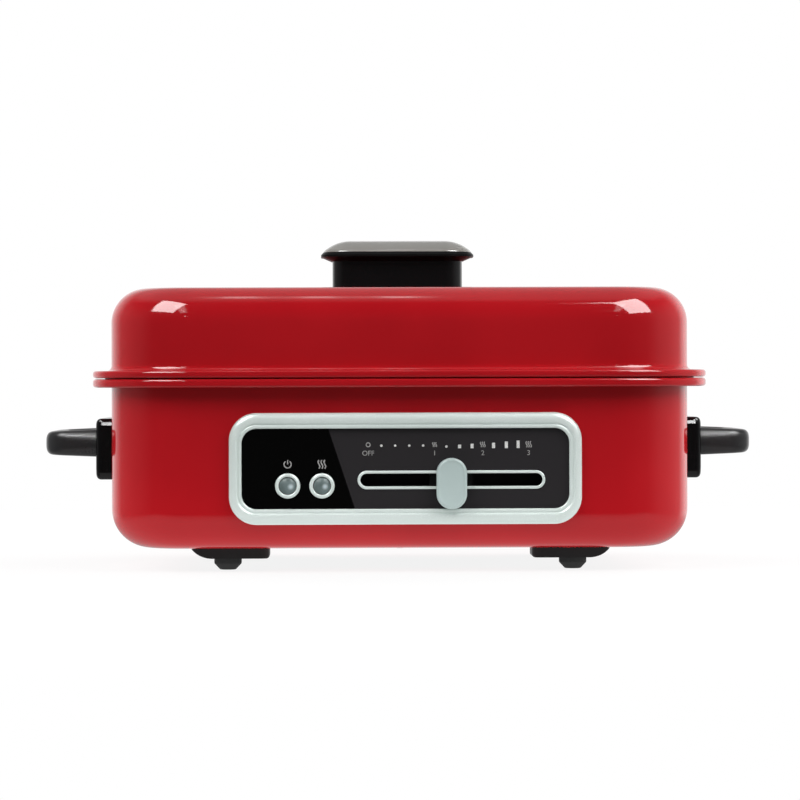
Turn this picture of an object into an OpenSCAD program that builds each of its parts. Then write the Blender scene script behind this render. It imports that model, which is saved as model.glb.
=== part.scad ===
// Electric hot pot with grill: a heated base with a slide-set thermostat,
// a lift-out pot with a ridged grill plate, and a lift-off enamelled lid.
// Millimetres, +Z up, front towards -Y, origin on the floor under the middle.

/* [Body] */
// Width over the side walls
body_w = 330; // [316:1:344]
// Depth over the front and rear walls
body_d = 222; // [214:1:236]
// Height from the underside to the top of the rim
body_h = 96.1; // [93:0.1:104]
// Plan corner radius of the walls
corner_r = 45; // [42:0.5:48]
// Radius of the lower edge
base_edge_r = 22; // [20:0.5:23]
// Thickness of the enamelled sheet
sheet = 1; // [0.8:0.1:1.2]
// Reach of the rims past the walls
rim_reach = 10.6; // [9.5:0.1:13]
// Height of the rolled rim of the body
body_rim_h = 4.8; // [4.2:0.1:6]
// Height of the rolled rim of the lid
lid_rim_h = 4.2; // [3.6:0.1:5.5]
// Width of the rolled edges
roll_w = 4.4; // [3.6:0.1:5]
// Corner radius of the rolled edges
roll_r = 1.6; // [1:0.1:1.7]
// Depth of the step in which the pot sits
seat_step = 2.3; // [1.8:0.1:2.4]

/* [Lid] */
// Height of the lid from the pot's rim to its top
lid_h = 51.3; // [44:0.1:60]
// Radius of the upper edge
lid_edge_r = 20; // [16:0.5:24]
// Radius between the lid wall and its rim
lid_fillet = 3; // [2:0.1:4]
// Width of the handle post
post_w = 76.5; // [70:0.5:84]
// Depth of the handle post
post_d = 38; // [34:0.5:42]
// Height of the handle post
post_h = 17.2; // [14:0.1:22]
// Plan corner radius of the handle post
post_r = 11; // [8:0.5:13]
// Overhang of the handle cap past the post
cap_overhang = 6.75; // [5:0.05:8]
// Height of the handle cap
cap_h = 11.7; // [11:0.1:14]
// Height of the cove under the cap
cap_cove_h = 2.6; // [2:0.1:3]
// Radius of the crown of the cap
cap_crown_r = 22.8; // [20:0.1:26]

/* [Pot and grill] */
// Inset of the pot wall from the body wall
pot_inset = 18; // [17.5:0.1:20]
// Wall and floor of the pot
pot_wall = 2.4; // [2:0.1:3]
// Thickness of the pot's rim
pot_rim_t = 2.8; // [2.6:0.1:3.2]
// Draft of the pot wall in degrees
pot_draft = 4; // [2:0.5:5]
// Outer radius round the pot floor
pot_floor_r = 13; // [10:0.5:14]
// Thickness of the grill plate
grill_t = 3; // [2.5:0.1:4]
// Height of the grill ridges
ridge_h = 4; // [3:0.1:5]
// Width of the grill ridges
ridge_w = 4; // [3:0.1:5]
// Pitch of the grill ridges
ridge_pitch = 13; // [11:0.5:16]
// Height of the grill plate's feet
grill_foot_h = 4; // [3:0.1:5]

/* [Control panel] */
// Width of the bezel
bezel_w = 197.7; // [190:0.1:204]
// Height of the bezel
bezel_h = 62.6; // [60:0.1:64]
// Corner radius of the bezel
bezel_r = 15.5; // [14:0.1:17]
// Distance of the bezel's centre from the middle, to the right
panel_x = 2.1; // [0:0.1:4]
// Height of the bezel's centre above the floor
bezel_z = 58.25; // [57.5:0.05:59.5]
// Width of the bezel's side bars
bezel_side = 7.1; // [6.6:0.1:8]
// Width of the bezel's top and bottom bars
bezel_bar = 8.8; // [8:0.05:10]
// Thickness of the bezel
bezel_t = 5; // [4.6:0.1:6]
// Thickness of the panel
panel_t = 2.2; // [1.8:0.1:2.6]
// Distance of the slot from the bezel's centre, to the right
slot_x = 25.7; // [22:0.1:28]
// Height of the slot above the floor
slot_z = 51.9; // [51:0.1:54]
// Height of the slot
slot_h = 7.2; // [6.8:0.1:9]
// Width of the trim line round the slot
trim_w = 1.6; // [1.2:0.1:2]
// Distance of the lamp pair from the bezel's left end
lamp_x = 42.45; // [39:0.05:44]
// Spacing of the lamps
lamp_pitch = 19.2; // [17:0.1:21]
// Height of the lamps above the floor
lamp_z = 48.75; // [47.5:0.05:52]
// Diameter of the lamp rings
lamp_ring_d = 14.2; // [13:0.1:16]
// Diameter of the lamp lenses
lamp_lens_d = 9.6; // [8:0.1:10]

/* [Heat control] */
// Travel of the slider from end to end
slider_travel = 90; // [84:1:92]
// Width of the knob
knob_w = 17; // [15:0.1:18]
// Height of the knob
knob_h = 28.6; // [26:0.1:29]
// Drop of the knob's centre below the slot
knob_drop = 2; // [0.8:0.1:2.4]
// Thickness of the knob
knob_t = 5.6; // [5:0.1:6.5]
// Gear module
gear_module = 1.5; // [1.4:0.1:1.5]
// Teeth on the pinion
pinion_teeth = 28; // [26:2:28]
// Height of the rack and pinion teeth
gear_face = 5.8; // [5:0.1:6]
// Diameter of the guide rod
rod_d = 4; // [3.6:0.1:4.2]
// Diameter of the thermostat spindle
spindle_d = 6; // [5:0.1:7]

/* [Heater] */
// Diameter of the heating tube
heater_d = 6.6; // [6:0.1:7]
// Bend radius of the heating tube
heater_bend = 8; // [7.5:0.5:8.5]
// Half width of the heating loop
heater_x = 108; // [100:1:112]
// Half width of its inner loop
heater_inner_x = 40; // [34:1:46]
// Inset of the liner from the body wall
liner_inset = 13; // [12.8:0.1:13.5]
// Thickness of the liner sheet
liner_t = 0.8; // [0.6:0.1:1]
// Diameter of the leads
lead_d = 2.6; // [2:0.1:2.8]

/* [Side handles] */
// Height of the base plates' centre above the floor
handle_z = 68.2; // [66:0.1:70]
// Length of the base plates
handle_base_l = 90; // [84:0.5:98]
// Height of the base plates
handle_base_h = 35.4; // [32:0.1:38]
// Thickness of the base plates
handle_base_t = 10.7; // [8:0.1:12]
// Reach of the grips past the base plates
grip_reach = 30; // [28:0.1:33]
// Length of the grips
grip_l = 78; // [74:0.5:82]
// Height of the grips at the base plates
grip_root_h = 16; // [15:0.1:18]
// Height of the grips at the tips
grip_tip_h = 13.5; // [12:0.1:14.5]
// Width of the grip bars seen from above
grip_bar = 11; // [10:0.1:12]
// Rise of the grips above the base plates' centre
grip_rise = 3.4; // [2:0.1:5]

/* [Feet] */
// Distance of the feet from the middle
foot_x = 98.5; // [96:0.5:102]
// Inset of the feet from the front and rear walls
foot_y = 38; // [38:0.5:39]
// Diameter of the rubber feet
foot_d = 15.7; // [14:0.1:17]
// Diameter of the flat they stand on
foot_flat_d = 8.5; // [7:0.1:10]
// Height of the rubber feet under their brackets
foot_h = 6.7; // [6:0.1:8]
// Height of the foot brackets
bracket_h = 5.9; // [5.5:0.1:8]
// Reach of the brackets towards the middle
bracket_in = 24; // [20:0.1:26]
// Reach of the brackets towards the sides
bracket_out = 20.5; // [19:0.1:23]
// Depth of the brackets
bracket_d = 28; // [26:0.1:29]

/* [Inlet] */
// Distance of the inlet from the middle
inlet_x = 80; // [76:0.5:86]
// Height of the inlet above the floor
inlet_z = 62; // [60:0.5:70]
// Width of the inlet's recess
inlet_w = 40; // [36:0.1:42]
// Height of the inlet's recess
inlet_h = 18; // [16:0.1:20]
// Depth of the inlet's recess
inlet_depth = 8; // [7:0.1:8.5]
// Diameter of the inlet's pins
pin_d = 4; // [3.6:0.1:4.4]
// Spacing of the inlet's pins
pin_pitch = 18; // [16:0.1:20]

/* [Clearances] */
// Gap between pieces that move apart by hand
loose_gap = 0.3; // [0.2:0.05:0.5]
// Radial gap of running fits
run_gap = 0.05; // [0.03:0.01:0.08]
// Radial gap round screws
screw_gap = 0.2; // [0.15:0.05:0.3]
// Backlash of the gear teeth
backlash = 0.2; // [0.15:0.01:0.3]

/* [Hidden] */
$fn = 48;
eps = 0.01;

enamel_red = [0.62, 0.07, 0.1];
satin_silver = [0.78, 0.83, 0.81];
gloss_black = [0.05, 0.05, 0.06];
matt_grey = [0.18, 0.18, 0.19];
steel = [0.66, 0.67, 0.68];
ceramic_white = [0.88, 0.86, 0.8];
dark_pan = [0.16, 0.15, 0.15];
lamp_grey = [0.45, 0.52, 0.52];
lead_white = [0.85, 0.84, 0.8];

// Walls, floors and rims
front_y = -body_d/2;
back_y = body_d/2;
front_in = front_y + sheet;
back_in = back_y - sheet;
body_z = foot_h + bracket_h;
floor_z = body_z + sheet;
rim_z = body_z + body_h;
seat_z = rim_z - seat_step;
seat_reach = 4;
seat_lip = 5;
lid_z = seat_z + pot_rim_t;
lid_top = lid_z + lid_h;
post_z = lid_top;
cap_z = post_z + post_h;
cap_w = post_w + 2*cap_overhang;
cap_d = post_d + 2*cap_overhang;
cap_r = post_r + cap_overhang;
cap_lip = 0.8;

// Screws
screw_d = 2.9;
screw_head_d = 5.6;
screw_head_h = 1.8;
base_head_h = 0.9;
screw_hole_d = screw_d + 2*screw_gap;

// Heat control, from the front wall inwards and from the floor upwards
carriage_gap = 0.8;
carriage_t = 3;
carriage_w = 24;
rack_back = 5.2;
shelf_t = 1.2;
sleeve_d = rod_d + 4;
rod_z = floor_z + 8.2;
rack_z = rod_z + sleeve_d/2 + 0.5;
rack_h = gear_face + 0.6;
gear_z = rack_z + 0.3;
pitch_r = gear_module*pinion_teeth/2;
tooth_foot = 1.25*gear_module;
rack_front = front_in + carriage_gap + carriage_t;
rack_root = rack_front + rack_back;
pinion_y = rack_root + tooth_foot + pitch_r;
rod_y = front_y + 14;
ear_offset = slider_travel/2 + carriage_w/2 + 4;
ear_t = 1.5;
shelf_front = front_y + base_edge_r + 2;
shelf_back = shelf_front + 28;
thermo_w = 32;
thermo_d = 28;
thermo_z = floor_z + shelf_t;
thermo_top = gear_z - 1.8;
rack_teeth = 2*ceil((slider_travel/2 + 6)/(PI*gear_module)) + 1;
rack_l = rack_teeth*PI*gear_module;
slot_l = slider_travel + 12;
slot_mid = panel_x + slot_x;
stem_w = 10;
stem_h = slot_h - 2*loose_gap;
stem_grip = 3;
trim_t = 0.7;
bezel_deck = 3.2;
bezel_lip = bezel_deck + 0.9;
knob_gap = bezel_lip + loose_gap - panel_t - trim_t;
knob_r = knob_w/2;
panel_lap = 1.5;
chassis_screw_x = 34;
chassis_screw_in = 5;
lens_skirt = 5;
lens_proud = 0.6;
lens_wall = 1.2;
neon_l = 7.5;
neon_d = 4;
lamp_lead_drop = 8;
lamp_lead_step = 3.5;
lamp_lead_apart = 3.2;
lamp_lead_bend = 3;

// Heater stack
liner_z = rack_z + rack_h + 4;
liner_top = liner_z + liner_t;
liner_floor_r = 12;
bush_flange = 1.6;
heater_z = liner_top + bush_flange + heater_bend + 0.4;
pot_floor_z = heater_z + heater_d/2 + 2.4;
heater_front = -62;
heater_inner_y = 28;
heater_end_x = 13;
support_y = [-32, 8];
bulb_d = 4.6;
bulb_l = 40;
bulb_x = -6;
bulb_z = heater_z + bulb_d/2 + 0.2;
bulb_y = -20;
capillary_d = 1.6;
block_w = 44;
block_d = 16;
block_h = 15;
cold_pin_d = 3;
lead_z = floor_z + 8;
lead_bend = 4;
tab_l = 6;
tab_w = 5;
tab_t = 0.8;
tab_x = 8;
fuse_l = 14;
fuse_stub = 6;

// Side handles
handle_base_r = 9;
handle_base_edge = 3;
handle_screw_in = 12;
handle_screw_depth = 6;
grip_bend = 15;
grip_section_r = 4.8;
grip_tip_r = 3.5;

// Base opening and its plate
opening_side = 50;
opening_end = 61;
opening_w = body_w - 2*opening_side;
opening_d = body_d - 2*opening_end;
opening_r = 12;
plate_lap = 5.5;
base_screw_pitch = opening_w/2 - 25;
base_screw_out = plate_lap/2 + 0.3;
block_gap = 4.95;
heater_back = opening_d/2 + base_screw_out + block_gap + block_d/2;
vent_l = 22;
vent_w = 4;
vent_pitch = 12;
vents = 11;
post_x = opening_w/2 - 15;
post_y = opening_d/2 - 10;
liner_post_d = 8;

// Feet
foot_out = [foot_x, body_d/2 - foot_y];
foot_screw_off = 9;
foot_plug_d = foot_d/2 - 1;
foot_edge_r = (foot_d - foot_flat_d)/2;
bracket_land = 0.6;

// Inlet
inlet_flange = 7;
inlet_flange_t = 2.5;
inlet_back = 3;
inlet_back_y = back_y + inlet_flange_t - inlet_depth - inlet_back;
inlet_tab_w = 5;
inlet_tab_t = 0.8;
inlet_tab_y = inlet_back_y - inlet_tab_t;
inlet_tab_end = inlet_z - inlet_h/2 - 14;

// Pot floor corner, worked out so that the drafted wall runs into the radius
pot_nx = cos(pot_draft);
pot_nz = -sin(pot_draft);
pot_cz = pot_floor_z + pot_floor_r;
pot_lean = (pot_floor_r + (seat_z - pot_cz)*sin(pot_draft))/cos(pot_draft);
pot_cu = -pot_inset - round(100*pot_lean)/100;
pot_floor_top = pot_floor_z + pot_wall;
grill_z = pot_floor_top + grill_foot_h;
grill_w = body_w + 2*pot_cu;
grill_d = body_d + 2*pot_cu;
grill_r = corner_r + pot_cu;

// Quarter of a disc in the first quadrant
module quarter(r) {
  intersection() {
    circle(r);
    square(r);
  }
}

// Quarter of a ring in the fourth quadrant
module quarter_ring(r, t) {
  intersection() {
    difference() {
      circle(r);
      circle(r - t);
    }
    translate([0, -r]) square(r);
  }
}

// Rectangle with round corners, centred
module rounded(w, d, r) {
  if (w > 2*r) square([w - 2*r, d], center = true);
  if (d > 2*r) square([w, d - 2*r], center = true);
  for (sx = w > 2*r ? [-1, 1] : [0], sy = d > 2*r ? [-1, 1] : [0]) {
    translate([sx*(w/2 - r), sy*(d/2 - r)]) circle(r);
  }
}

// Carries a profile round a rectangle with round corners, x pointing outwards
module frame_sweep(w, d, r) {
  for (i = [0:3]) {
    along = (i % 2 == 0 ? d : w) - 2*r;
    out = (i % 2 == 0 ? w : d)/2;
    rotate(90*i) {
      translate([out - r, along/2, 0]) rotate_extrude(angle = 90) translate([r, 0]) children();
      if (along > 0) translate([out, along/2, 0]) rotate([90, 0, 0]) linear_extrude(along) children();
    }
  }
}

// Block with round plan corners and a rounded upper edge
module pad(w, d, r, h, edge) {
  linear_extrude(h - edge) rounded(w, d, r);
  linear_extrude(h) rounded(w - 2*edge, d - 2*edge, r - edge);
  translate([0, 0, h - edge]) frame_sweep(w - 2*edge, d - 2*edge, r - edge) quarter(edge);
}

// Stands on the front wall, with local z pointing out to the front
module on_front(x, z, out = 0) {
  translate([x, front_y - out, z]) rotate([90, 0, 0]) children();
}

// Stands on the rear wall, with local z pointing out to the rear
module on_back(x, z, out = 0) {
  translate([x, back_y + out, z]) rotate([-90, 0, 0]) children();
}

// Stands on a side wall, with local x to the rear and local z pointing out
module on_side(side, z, out = 0) {
  translate([side*(body_w/2 + out), 0, z]) rotate([90, 0, 90*side]) children();
}

// Screw with its head on top of the origin and its shank below
module screw(length, head_h = screw_head_h) {
  cylinder(d = screw_head_d, h = head_h);
  translate([0, 0, -length]) cylinder(d = screw_d, h = length + eps);
}

// Vectors for tubes that run along the axes
function unit(v) = v/norm(v);
function axes(x, y, z, p) = [
  [x[0], y[0], z[0], p[0]],
  [x[1], y[1], z[1], p[1]],
  [x[2], y[2], z[2], p[2]],
  [0, 0, 0, 1]
];

// Nearest point of a fine grid, so that runs and bends meet face to face
grid = 1/8;
function on_grid(p) = [for (c = p) grid*round(c/grid)];

// Round tube through points on axis-parallel runs, with round bends
module bent_tube(route, d, bend) {
  points = [for (p = route) on_grid(p)];
  last = len(points) - 1;
  for (i = [0:last - 1]) {
    dir = unit(points[i + 1] - points[i]);
    side = [dir[1], dir[2], dir[0]];
    start = points[i] + (i > 0 ? bend : 0)*dir;
    end = points[i + 1] - (i < last - 1 ? bend : 0)*dir;
    multmatrix(axes(side, cross(dir, side), dir, start)) cylinder(d = d, h = norm(end - start));
  }
  if (last > 1) for (i = [1:last - 1]) {
    into = unit(points[i] - points[i - 1]);
    away = unit(points[i + 1] - points[i]);
    multmatrix(axes(-away, into, cross(into, away), points[i] + bend*(away - into))) {
      rotate_extrude(angle = 90) translate([bend, 0]) circle(d = d);
    }
  }
}

// Body
module body_profile() {
  top_h = seat_z - body_z - base_edge_r;
  translate([-sheet, body_z + base_edge_r]) square([sheet, top_h]);
  translate([-base_edge_r, body_z + base_edge_r]) quarter_ring(base_edge_r, sheet);
  translate([-seat_lip, seat_z - sheet]) square([seat_lip + seat_reach + sheet, sheet]);
  translate([seat_reach, seat_z - sheet]) square([sheet, seat_step + sheet]);
  translate([seat_reach, rim_z - sheet]) square([rim_reach - roll_r - seat_reach, sheet]);
  translate([rim_reach - roll_w/2, rim_z - body_rim_h/2]) rounded(roll_w, body_rim_h, roll_r);
}

module body_shell() {
  color(enamel_red) difference() {
    union() {
      frame_sweep(body_w, body_d, corner_r) body_profile();
      translate([0, 0, body_z]) linear_extrude(sheet) {
        rounded(body_w - 2*base_edge_r, body_d - 2*base_edge_r, corner_r - base_edge_r);
      }
    }
    translate([0, 0, body_z - 1]) linear_extrude(sheet + 2) rounded(opening_w, opening_d, opening_r);
    on_front(slot_mid, slot_z, -sheet - 1) linear_extrude(sheet + 2) {
      rounded(slot_l + 2, slot_h + 2, slot_h/2 + 1);
    }
    for (x = lamp_places()) {
      on_front(x, lamp_z, -sheet - 1) cylinder(d = lamp_lens_d + 2*screw_gap, h = sheet + 2);
    }
    bezel_screw_places() translate([0, 0, -sheet - 1]) cylinder(d = screw_hole_d, h = sheet + 2);
    handle_screw_places() translate([0, 0, -sheet - 1]) cylinder(d = screw_hole_d, h = sheet + 2);
    on_back(inlet_x, inlet_z, -sheet - 1) linear_extrude(sheet + 2) {
      rounded(inlet_w + 5, inlet_h + 5, 5);
    }
    inlet_screw_places() translate([0, 0, -sheet - inlet_flange_t - 1]) {
      cylinder(d = screw_hole_d, h = sheet + 2);
    }
    foot_screw_places() translate([0, 0, -sheet - 1]) cylinder(d = screw_hole_d, h = sheet + 2);
    chassis_screw_places() translate([0, 0, -shelf_t - sheet - 1]) {
      cylinder(d = screw_hole_d, h = shelf_t + sheet + 2);
    }
    base_screw_places() translate([0, 0, -1]) cylinder(d = screw_hole_d, h = sheet + 2);
  }
}

// Base plate, screwed on from below
module base_screw_places() {
  for (nx = [-1:1], sy = [-1, 1]) {
    translate([nx*base_screw_pitch, sy*(opening_d/2 + base_screw_out), body_z]) children();
  }
}

module base_plate() {
  color(steel) difference() {
    translate([0, 0, body_z - sheet]) linear_extrude(sheet) {
      rounded(opening_w + 2*plate_lap, opening_d + 2*plate_lap, opening_r + plate_lap);
    }
    for (n = [0:vents - 1], sy = [-1, 1]) {
      translate([(n - (vents - 1)/2)*vent_pitch, sy*(vent_l/2 + 3), body_z - sheet - 1]) {
        linear_extrude(sheet + 2) rounded(vent_w, vent_l, vent_w/2);
      }
    }
    base_screw_places() translate([0, 0, -sheet - 1]) cylinder(d = screw_hole_d, h = sheet + 2);
  }
}

module base_screws() {
  color(steel) base_screw_places() translate([0, 0, -sheet]) rotate([180, 0, 0]) {
    screw(sheet + 4, base_head_h);
  }
}

// Feet
module foot_screw_places() {
  for (sx = [-1, 1], sy = [-1, 1], off = [-1, 1]) {
    translate([sx*foot_out[0], sy*foot_out[1] + off*foot_screw_off, floor_z]) children();
  }
}

module foot_bracket(sx, sy) {
  bow = bracket_out - foot_d/2 - 0.6;
  bow_rise = bracket_h - bracket_land;
  bow_r = (bow*bow + bow_rise*bow_rise)/(2*bow_rise);
  color(gloss_black) translate([sx*foot_out[0], sy*foot_out[1], foot_h]) difference() {
    intersection() {
      rotate([90, 0, 0]) linear_extrude(bracket_d, center = true) mirror([sx < 0 ? 1 : 0, 0]) {
        difference() {
          translate([-bracket_in, 0]) square([bracket_in + bracket_out, bracket_h]);
          translate([-bracket_in, 0]) difference() {
            square(2);
            translate([2, 2]) circle(2);
          }
        }
      }
      rotate([90, 0, 0]) linear_extrude(bracket_d, center = true) mirror([sx < 0 ? 1 : 0, 0]) {
        translate([-bracket_in - 1, -1]) square([bracket_in + 1 + bracket_out - bow, bracket_h + 2]);
        translate([bracket_out - bow, bow_r]) circle(bow_r);
      }
      translate([sx*(bracket_out - bracket_in)/2, 0, -1]) linear_extrude(bracket_h + 2) {
        rounded(bracket_in + bracket_out, bracket_d, 6);
      }
    }
    translate([0, 0, -1]) cylinder(d = foot_plug_d, h = bracket_h);
    for (off = [-1, 1]) translate([0, off*foot_screw_off, 2]) cylinder(d = screw_d, h = bracket_h);
  }
}

module foot_bracket_front_left() foot_bracket(-1, -1);
module foot_bracket_front_right() foot_bracket(1, -1);
module foot_bracket_rear_left() foot_bracket(-1, 1);
module foot_bracket_rear_right() foot_bracket(1, 1);

module rubber_foot(sx, sy) {
  plug_top = foot_h + bracket_h - 1;
  color(matt_grey) translate([sx*foot_out[0], sy*foot_out[1], 0]) rotate_extrude() {
    square([foot_flat_d/2, foot_h]);
    translate([0, foot_edge_r]) square([foot_d/2, foot_h - foot_edge_r]);
    translate([foot_flat_d/2, foot_edge_r]) mirror([0, 1]) quarter(foot_edge_r);
    square([foot_plug_d/2, plug_top]);
  }
}

module rubber_foot_front_left() rubber_foot(-1, -1);
module rubber_foot_front_right() rubber_foot(1, -1);
module rubber_foot_rear_left() rubber_foot(-1, 1);
module rubber_foot_rear_right() rubber_foot(1, 1);

module foot_screws() {
  color(steel) foot_screw_places() screw(sheet + bracket_h - 2.5);
}

// Control panel
function lamp_places() = [for (s = [-1, 1]) panel_x - bezel_w/2 + lamp_x + s*lamp_pitch/2];

module bezel_screw_places() {
  for (sx = [-1, 1]) {
    on_front(panel_x + sx*(bezel_w/2 - 9), bezel_z + bezel_h/2 - bezel_bar/2 - 0.5) children();
    on_front(panel_x + sx*(bezel_w/2 - 2.9), body_z + base_edge_r + 5) children();
  }
}

// Space behind the front wall's outer face, with its rounded lower edge
module behind_front(l) {
  translate([-l/2, 0, 0]) rotate([90, 0, 90]) linear_extrude(l) {
    translate([front_y, body_z + base_edge_r]) square([2*base_edge_r, bezel_h]);
    translate([front_y + base_edge_r, body_z + base_edge_r]) circle(base_edge_r);
  }
}

module control_bezel() {
  window_w = bezel_w - 2*bezel_side;
  window_h = bezel_h - 2*bezel_bar;
  window_r = bezel_r - bezel_side;
  band = 4.6;
  skirt = 3;
  lip_w = panel_lap + 0.6;
  color(satin_silver) difference() {
    on_front(panel_x, bezel_z) {
      translate([0, 0, -skirt]) linear_extrude(bezel_deck + skirt) difference() {
        rounded(bezel_w - band, bezel_h - band, bezel_r - band/2);
        rounded(window_w + 2*panel_lap, window_h + 2*panel_lap, window_r + panel_lap);
      }
      frame_sweep(bezel_w, bezel_h, bezel_r) polygon([
        [-band, -skirt], [0, -skirt], [0, bezel_t - 1.8], [-0.4, bezel_t - 0.7], [-1.2, bezel_t - 0.15],
        [-band/2, bezel_t], [-band + 1, bezel_t - 0.3], [-band, bezel_t - 1.3]
      ]);
      frame_sweep(window_w, window_h, window_r) polygon([
        [0, panel_t], [lip_w, panel_t], [lip_w, bezel_lip - 0.3], [lip_w - 0.5, bezel_lip],
        [0.5, bezel_lip], [0, bezel_lip - 0.5]
      ]);
    }
    behind_front(2*bezel_w);
    bezel_screw_places() translate([0, 0, -1]) cylinder(d = screw_d, h = 1 + bezel_deck - 0.6);
  }
}

module control_panel() {
  fit = panel_lap - 0.15;
  color(gloss_black) difference() {
    on_front(panel_x, bezel_z) linear_extrude(panel_t) {
      rounded(bezel_w - 2*bezel_side + 2*fit, bezel_h - 2*bezel_bar + 2*fit, bezel_r - bezel_side + fit);
    }
    on_front(slot_mid, slot_z, -1) linear_extrude(panel_t + 2) rounded(slot_l, slot_h, slot_h/2);
    for (x = lamp_places()) {
      on_front(x, lamp_z, -1) cylinder(d = lamp_lens_d + 2*screw_gap, h = panel_t + 2);
    }
  }
}

module bezel_screws() {
  color(steel) bezel_screw_places() translate([0, 0, -sheet]) rotate([180, 0, 0]) screw(sheet + 2.4);
}

module slot_trim() {
  color(satin_silver) on_front(slot_mid, slot_z, panel_t) linear_extrude(trim_t) difference() {
    rounded(slot_l + 2*trim_w, slot_h + 2*trim_w, slot_h/2 + trim_w);
    rounded(slot_l, slot_h, slot_h/2);
  }
}

module lamp_ring(x) {
  ring_h = 1.6;
  color(satin_silver) on_front(x, lamp_z, panel_t) difference() {
    union() {
      cylinder(d = lamp_ring_d, h = ring_h - 0.6);
      cylinder(d1 = lamp_ring_d, d2 = lamp_ring_d - 2, h = ring_h);
    }
    translate([0, 0, -1]) cylinder(d = lamp_lens_d + 2*screw_gap, h = ring_h + 2);
  }
}

module power_lamp_ring() lamp_ring(lamp_places()[0]);
module heating_lamp_ring() lamp_ring(lamp_places()[1]);

module lamp_lens(x) {
  dome_h = 1.6;
  dome_r = (lamp_lens_d*lamp_lens_d/4 + dome_h*dome_h)/(2*dome_h);
  color(lamp_grey) on_front(x, lamp_z, -lens_skirt) difference() {
    union() {
      cylinder(d = lamp_lens_d, h = lens_skirt + panel_t + lens_proud);
      intersection() {
        translate([0, 0, lens_skirt + panel_t + lens_proud]) cylinder(d = lamp_lens_d, h = dome_h);
        translate([0, 0, lens_skirt + panel_t + lens_proud + dome_h - dome_r]) sphere(dome_r);
      }
    }
    translate([0, 0, -1]) cylinder(d = lamp_lens_d - 2*lens_wall, h = lens_skirt + panel_t);
  }
}

module power_lamp_lens() lamp_lens(lamp_places()[0]);
module heating_lamp_lens() lamp_lens(lamp_places()[1]);

module neon(x) {
  color(ceramic_white) on_front(x, lamp_z, -neon_l) {
    cylinder(d = lamp_lens_d - 0.6, h = neon_l - lens_skirt);
    cylinder(d = neon_d, h = neon_l);
  }
}

module power_neon() neon(lamp_places()[0]);
module heating_neon() neon(lamp_places()[1]);

module lamp_leads() {
  lead_y = front_y + neon_l + lead_d/2 + screw_gap/2;
  far_x = floor(slot_mid - slider_travel/2 - rack_l/2 - 6);
  near_x = far_x + lamp_lead_apart;
  thermo_x = slot_mid - thermo_w/2;
  low_z = lead_z + 2;
  far_z = lamp_z - lamp_lead_drop;
  near_z = far_z - lamp_lead_step;
  far_y = pinion_y + 4;
  color(lead_white) {
    bent_tube([
      [lamp_places()[0], lead_y, lamp_z + 1], [lamp_places()[0], lead_y, far_z], [far_x, lead_y, far_z],
      [far_x, lead_y, low_z], [far_x, far_y, low_z], [thermo_x, far_y, low_z]
    ], lead_d, lamp_lead_bend);
    bent_tube([
      [lamp_places()[1], lead_y, lamp_z + 1], [lamp_places()[1], lead_y, near_z], [near_x, lead_y, near_z],
      [near_x, lead_y, low_z], [near_x, pinion_y, low_z], [thermo_x, pinion_y, low_z]
    ], lead_d, lamp_lead_bend);
  }
}

// Heat slider
module stem_section() rounded(stem_w, stem_h, stem_h/2);

module slider_knob() {
  back = panel_t + trim_t + knob_gap;
  color(satin_silver) difference() {
    on_front(slot_mid, slot_z - knob_drop, back) pad(knob_w, knob_h, knob_r, knob_t, 1.6);
    on_front(slot_mid, slot_z, back - 1) linear_extrude(stem_grip + 1) stem_section();
  }
}

function rack_tooth(n) = let (
  pitch = PI*gear_module,
  lean = tan(20),
  half = pitch/4 - backlash/2,
  mid = (n - (rack_teeth - 1)/2)*pitch
) [
  [mid - half - tooth_foot*lean, 0], [mid - half + gear_module*lean, tooth_foot + gear_module],
  [mid + half - gear_module*lean, tooth_foot + gear_module], [mid + half + tooth_foot*lean, 0]
];

module slider_carriage() {
  plate_z = rack_z + 4.6;
  plate_top = slot_z + 6;
  stem_end = panel_t + trim_t + knob_gap + stem_grip;
  sleeve_l = carriage_w;
  tooth_points = [for (n = [0:rack_teeth - 1], p = rack_tooth(n)) p];
  color(matt_grey) translate([slot_mid, 0, 0]) difference() {
    union() {
      translate([-carriage_w/2, front_in + carriage_gap, plate_z]) {
        cube([carriage_w, carriage_t, plate_top - plate_z]);
      }
      translate([0, front_in + carriage_gap + 1, slot_z]) rotate([90, 0, 0]) {
        linear_extrude(stem_end + sheet + carriage_gap + 1) stem_section();
      }
      translate([0, rack_root, rack_z]) linear_extrude(rack_h) {
        polygon(concat([[rack_l/2, -rack_back], [-rack_l/2, -rack_back], [-rack_l/2, 0]], tooth_points,
          [[rack_l/2, 0]]));
      }
      translate([-sleeve_l/2, rod_y, rod_z]) rotate([0, 90, 0]) cylinder(d = sleeve_d, h = sleeve_l);
      translate([-sleeve_l/2, rack_front + 1.5, rod_z]) {
        cube([sleeve_l, rod_y - rack_front - 1.5, rack_z - rod_z + eps]);
      }
    }
    translate([-sleeve_l/2 - 1, rod_y, rod_z]) rotate([0, 90, 0]) {
      cylinder(d = rod_d + 2*run_gap, h = sleeve_l + 2);
    }
  }
}

module guide_rod() {
  half = ear_offset + ear_t + 2;
  color(steel) translate([slot_mid - half, rod_y, rod_z]) rotate([0, 90, 0]) {
    cylinder(d = rod_d, h = 2*half);
  }
}

module chassis_screw_places() {
  for (sx = [-1, 1]) {
    translate([slot_mid + sx*chassis_screw_x, shelf_back - chassis_screw_in, thermo_z]) children();
  }
}

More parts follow.
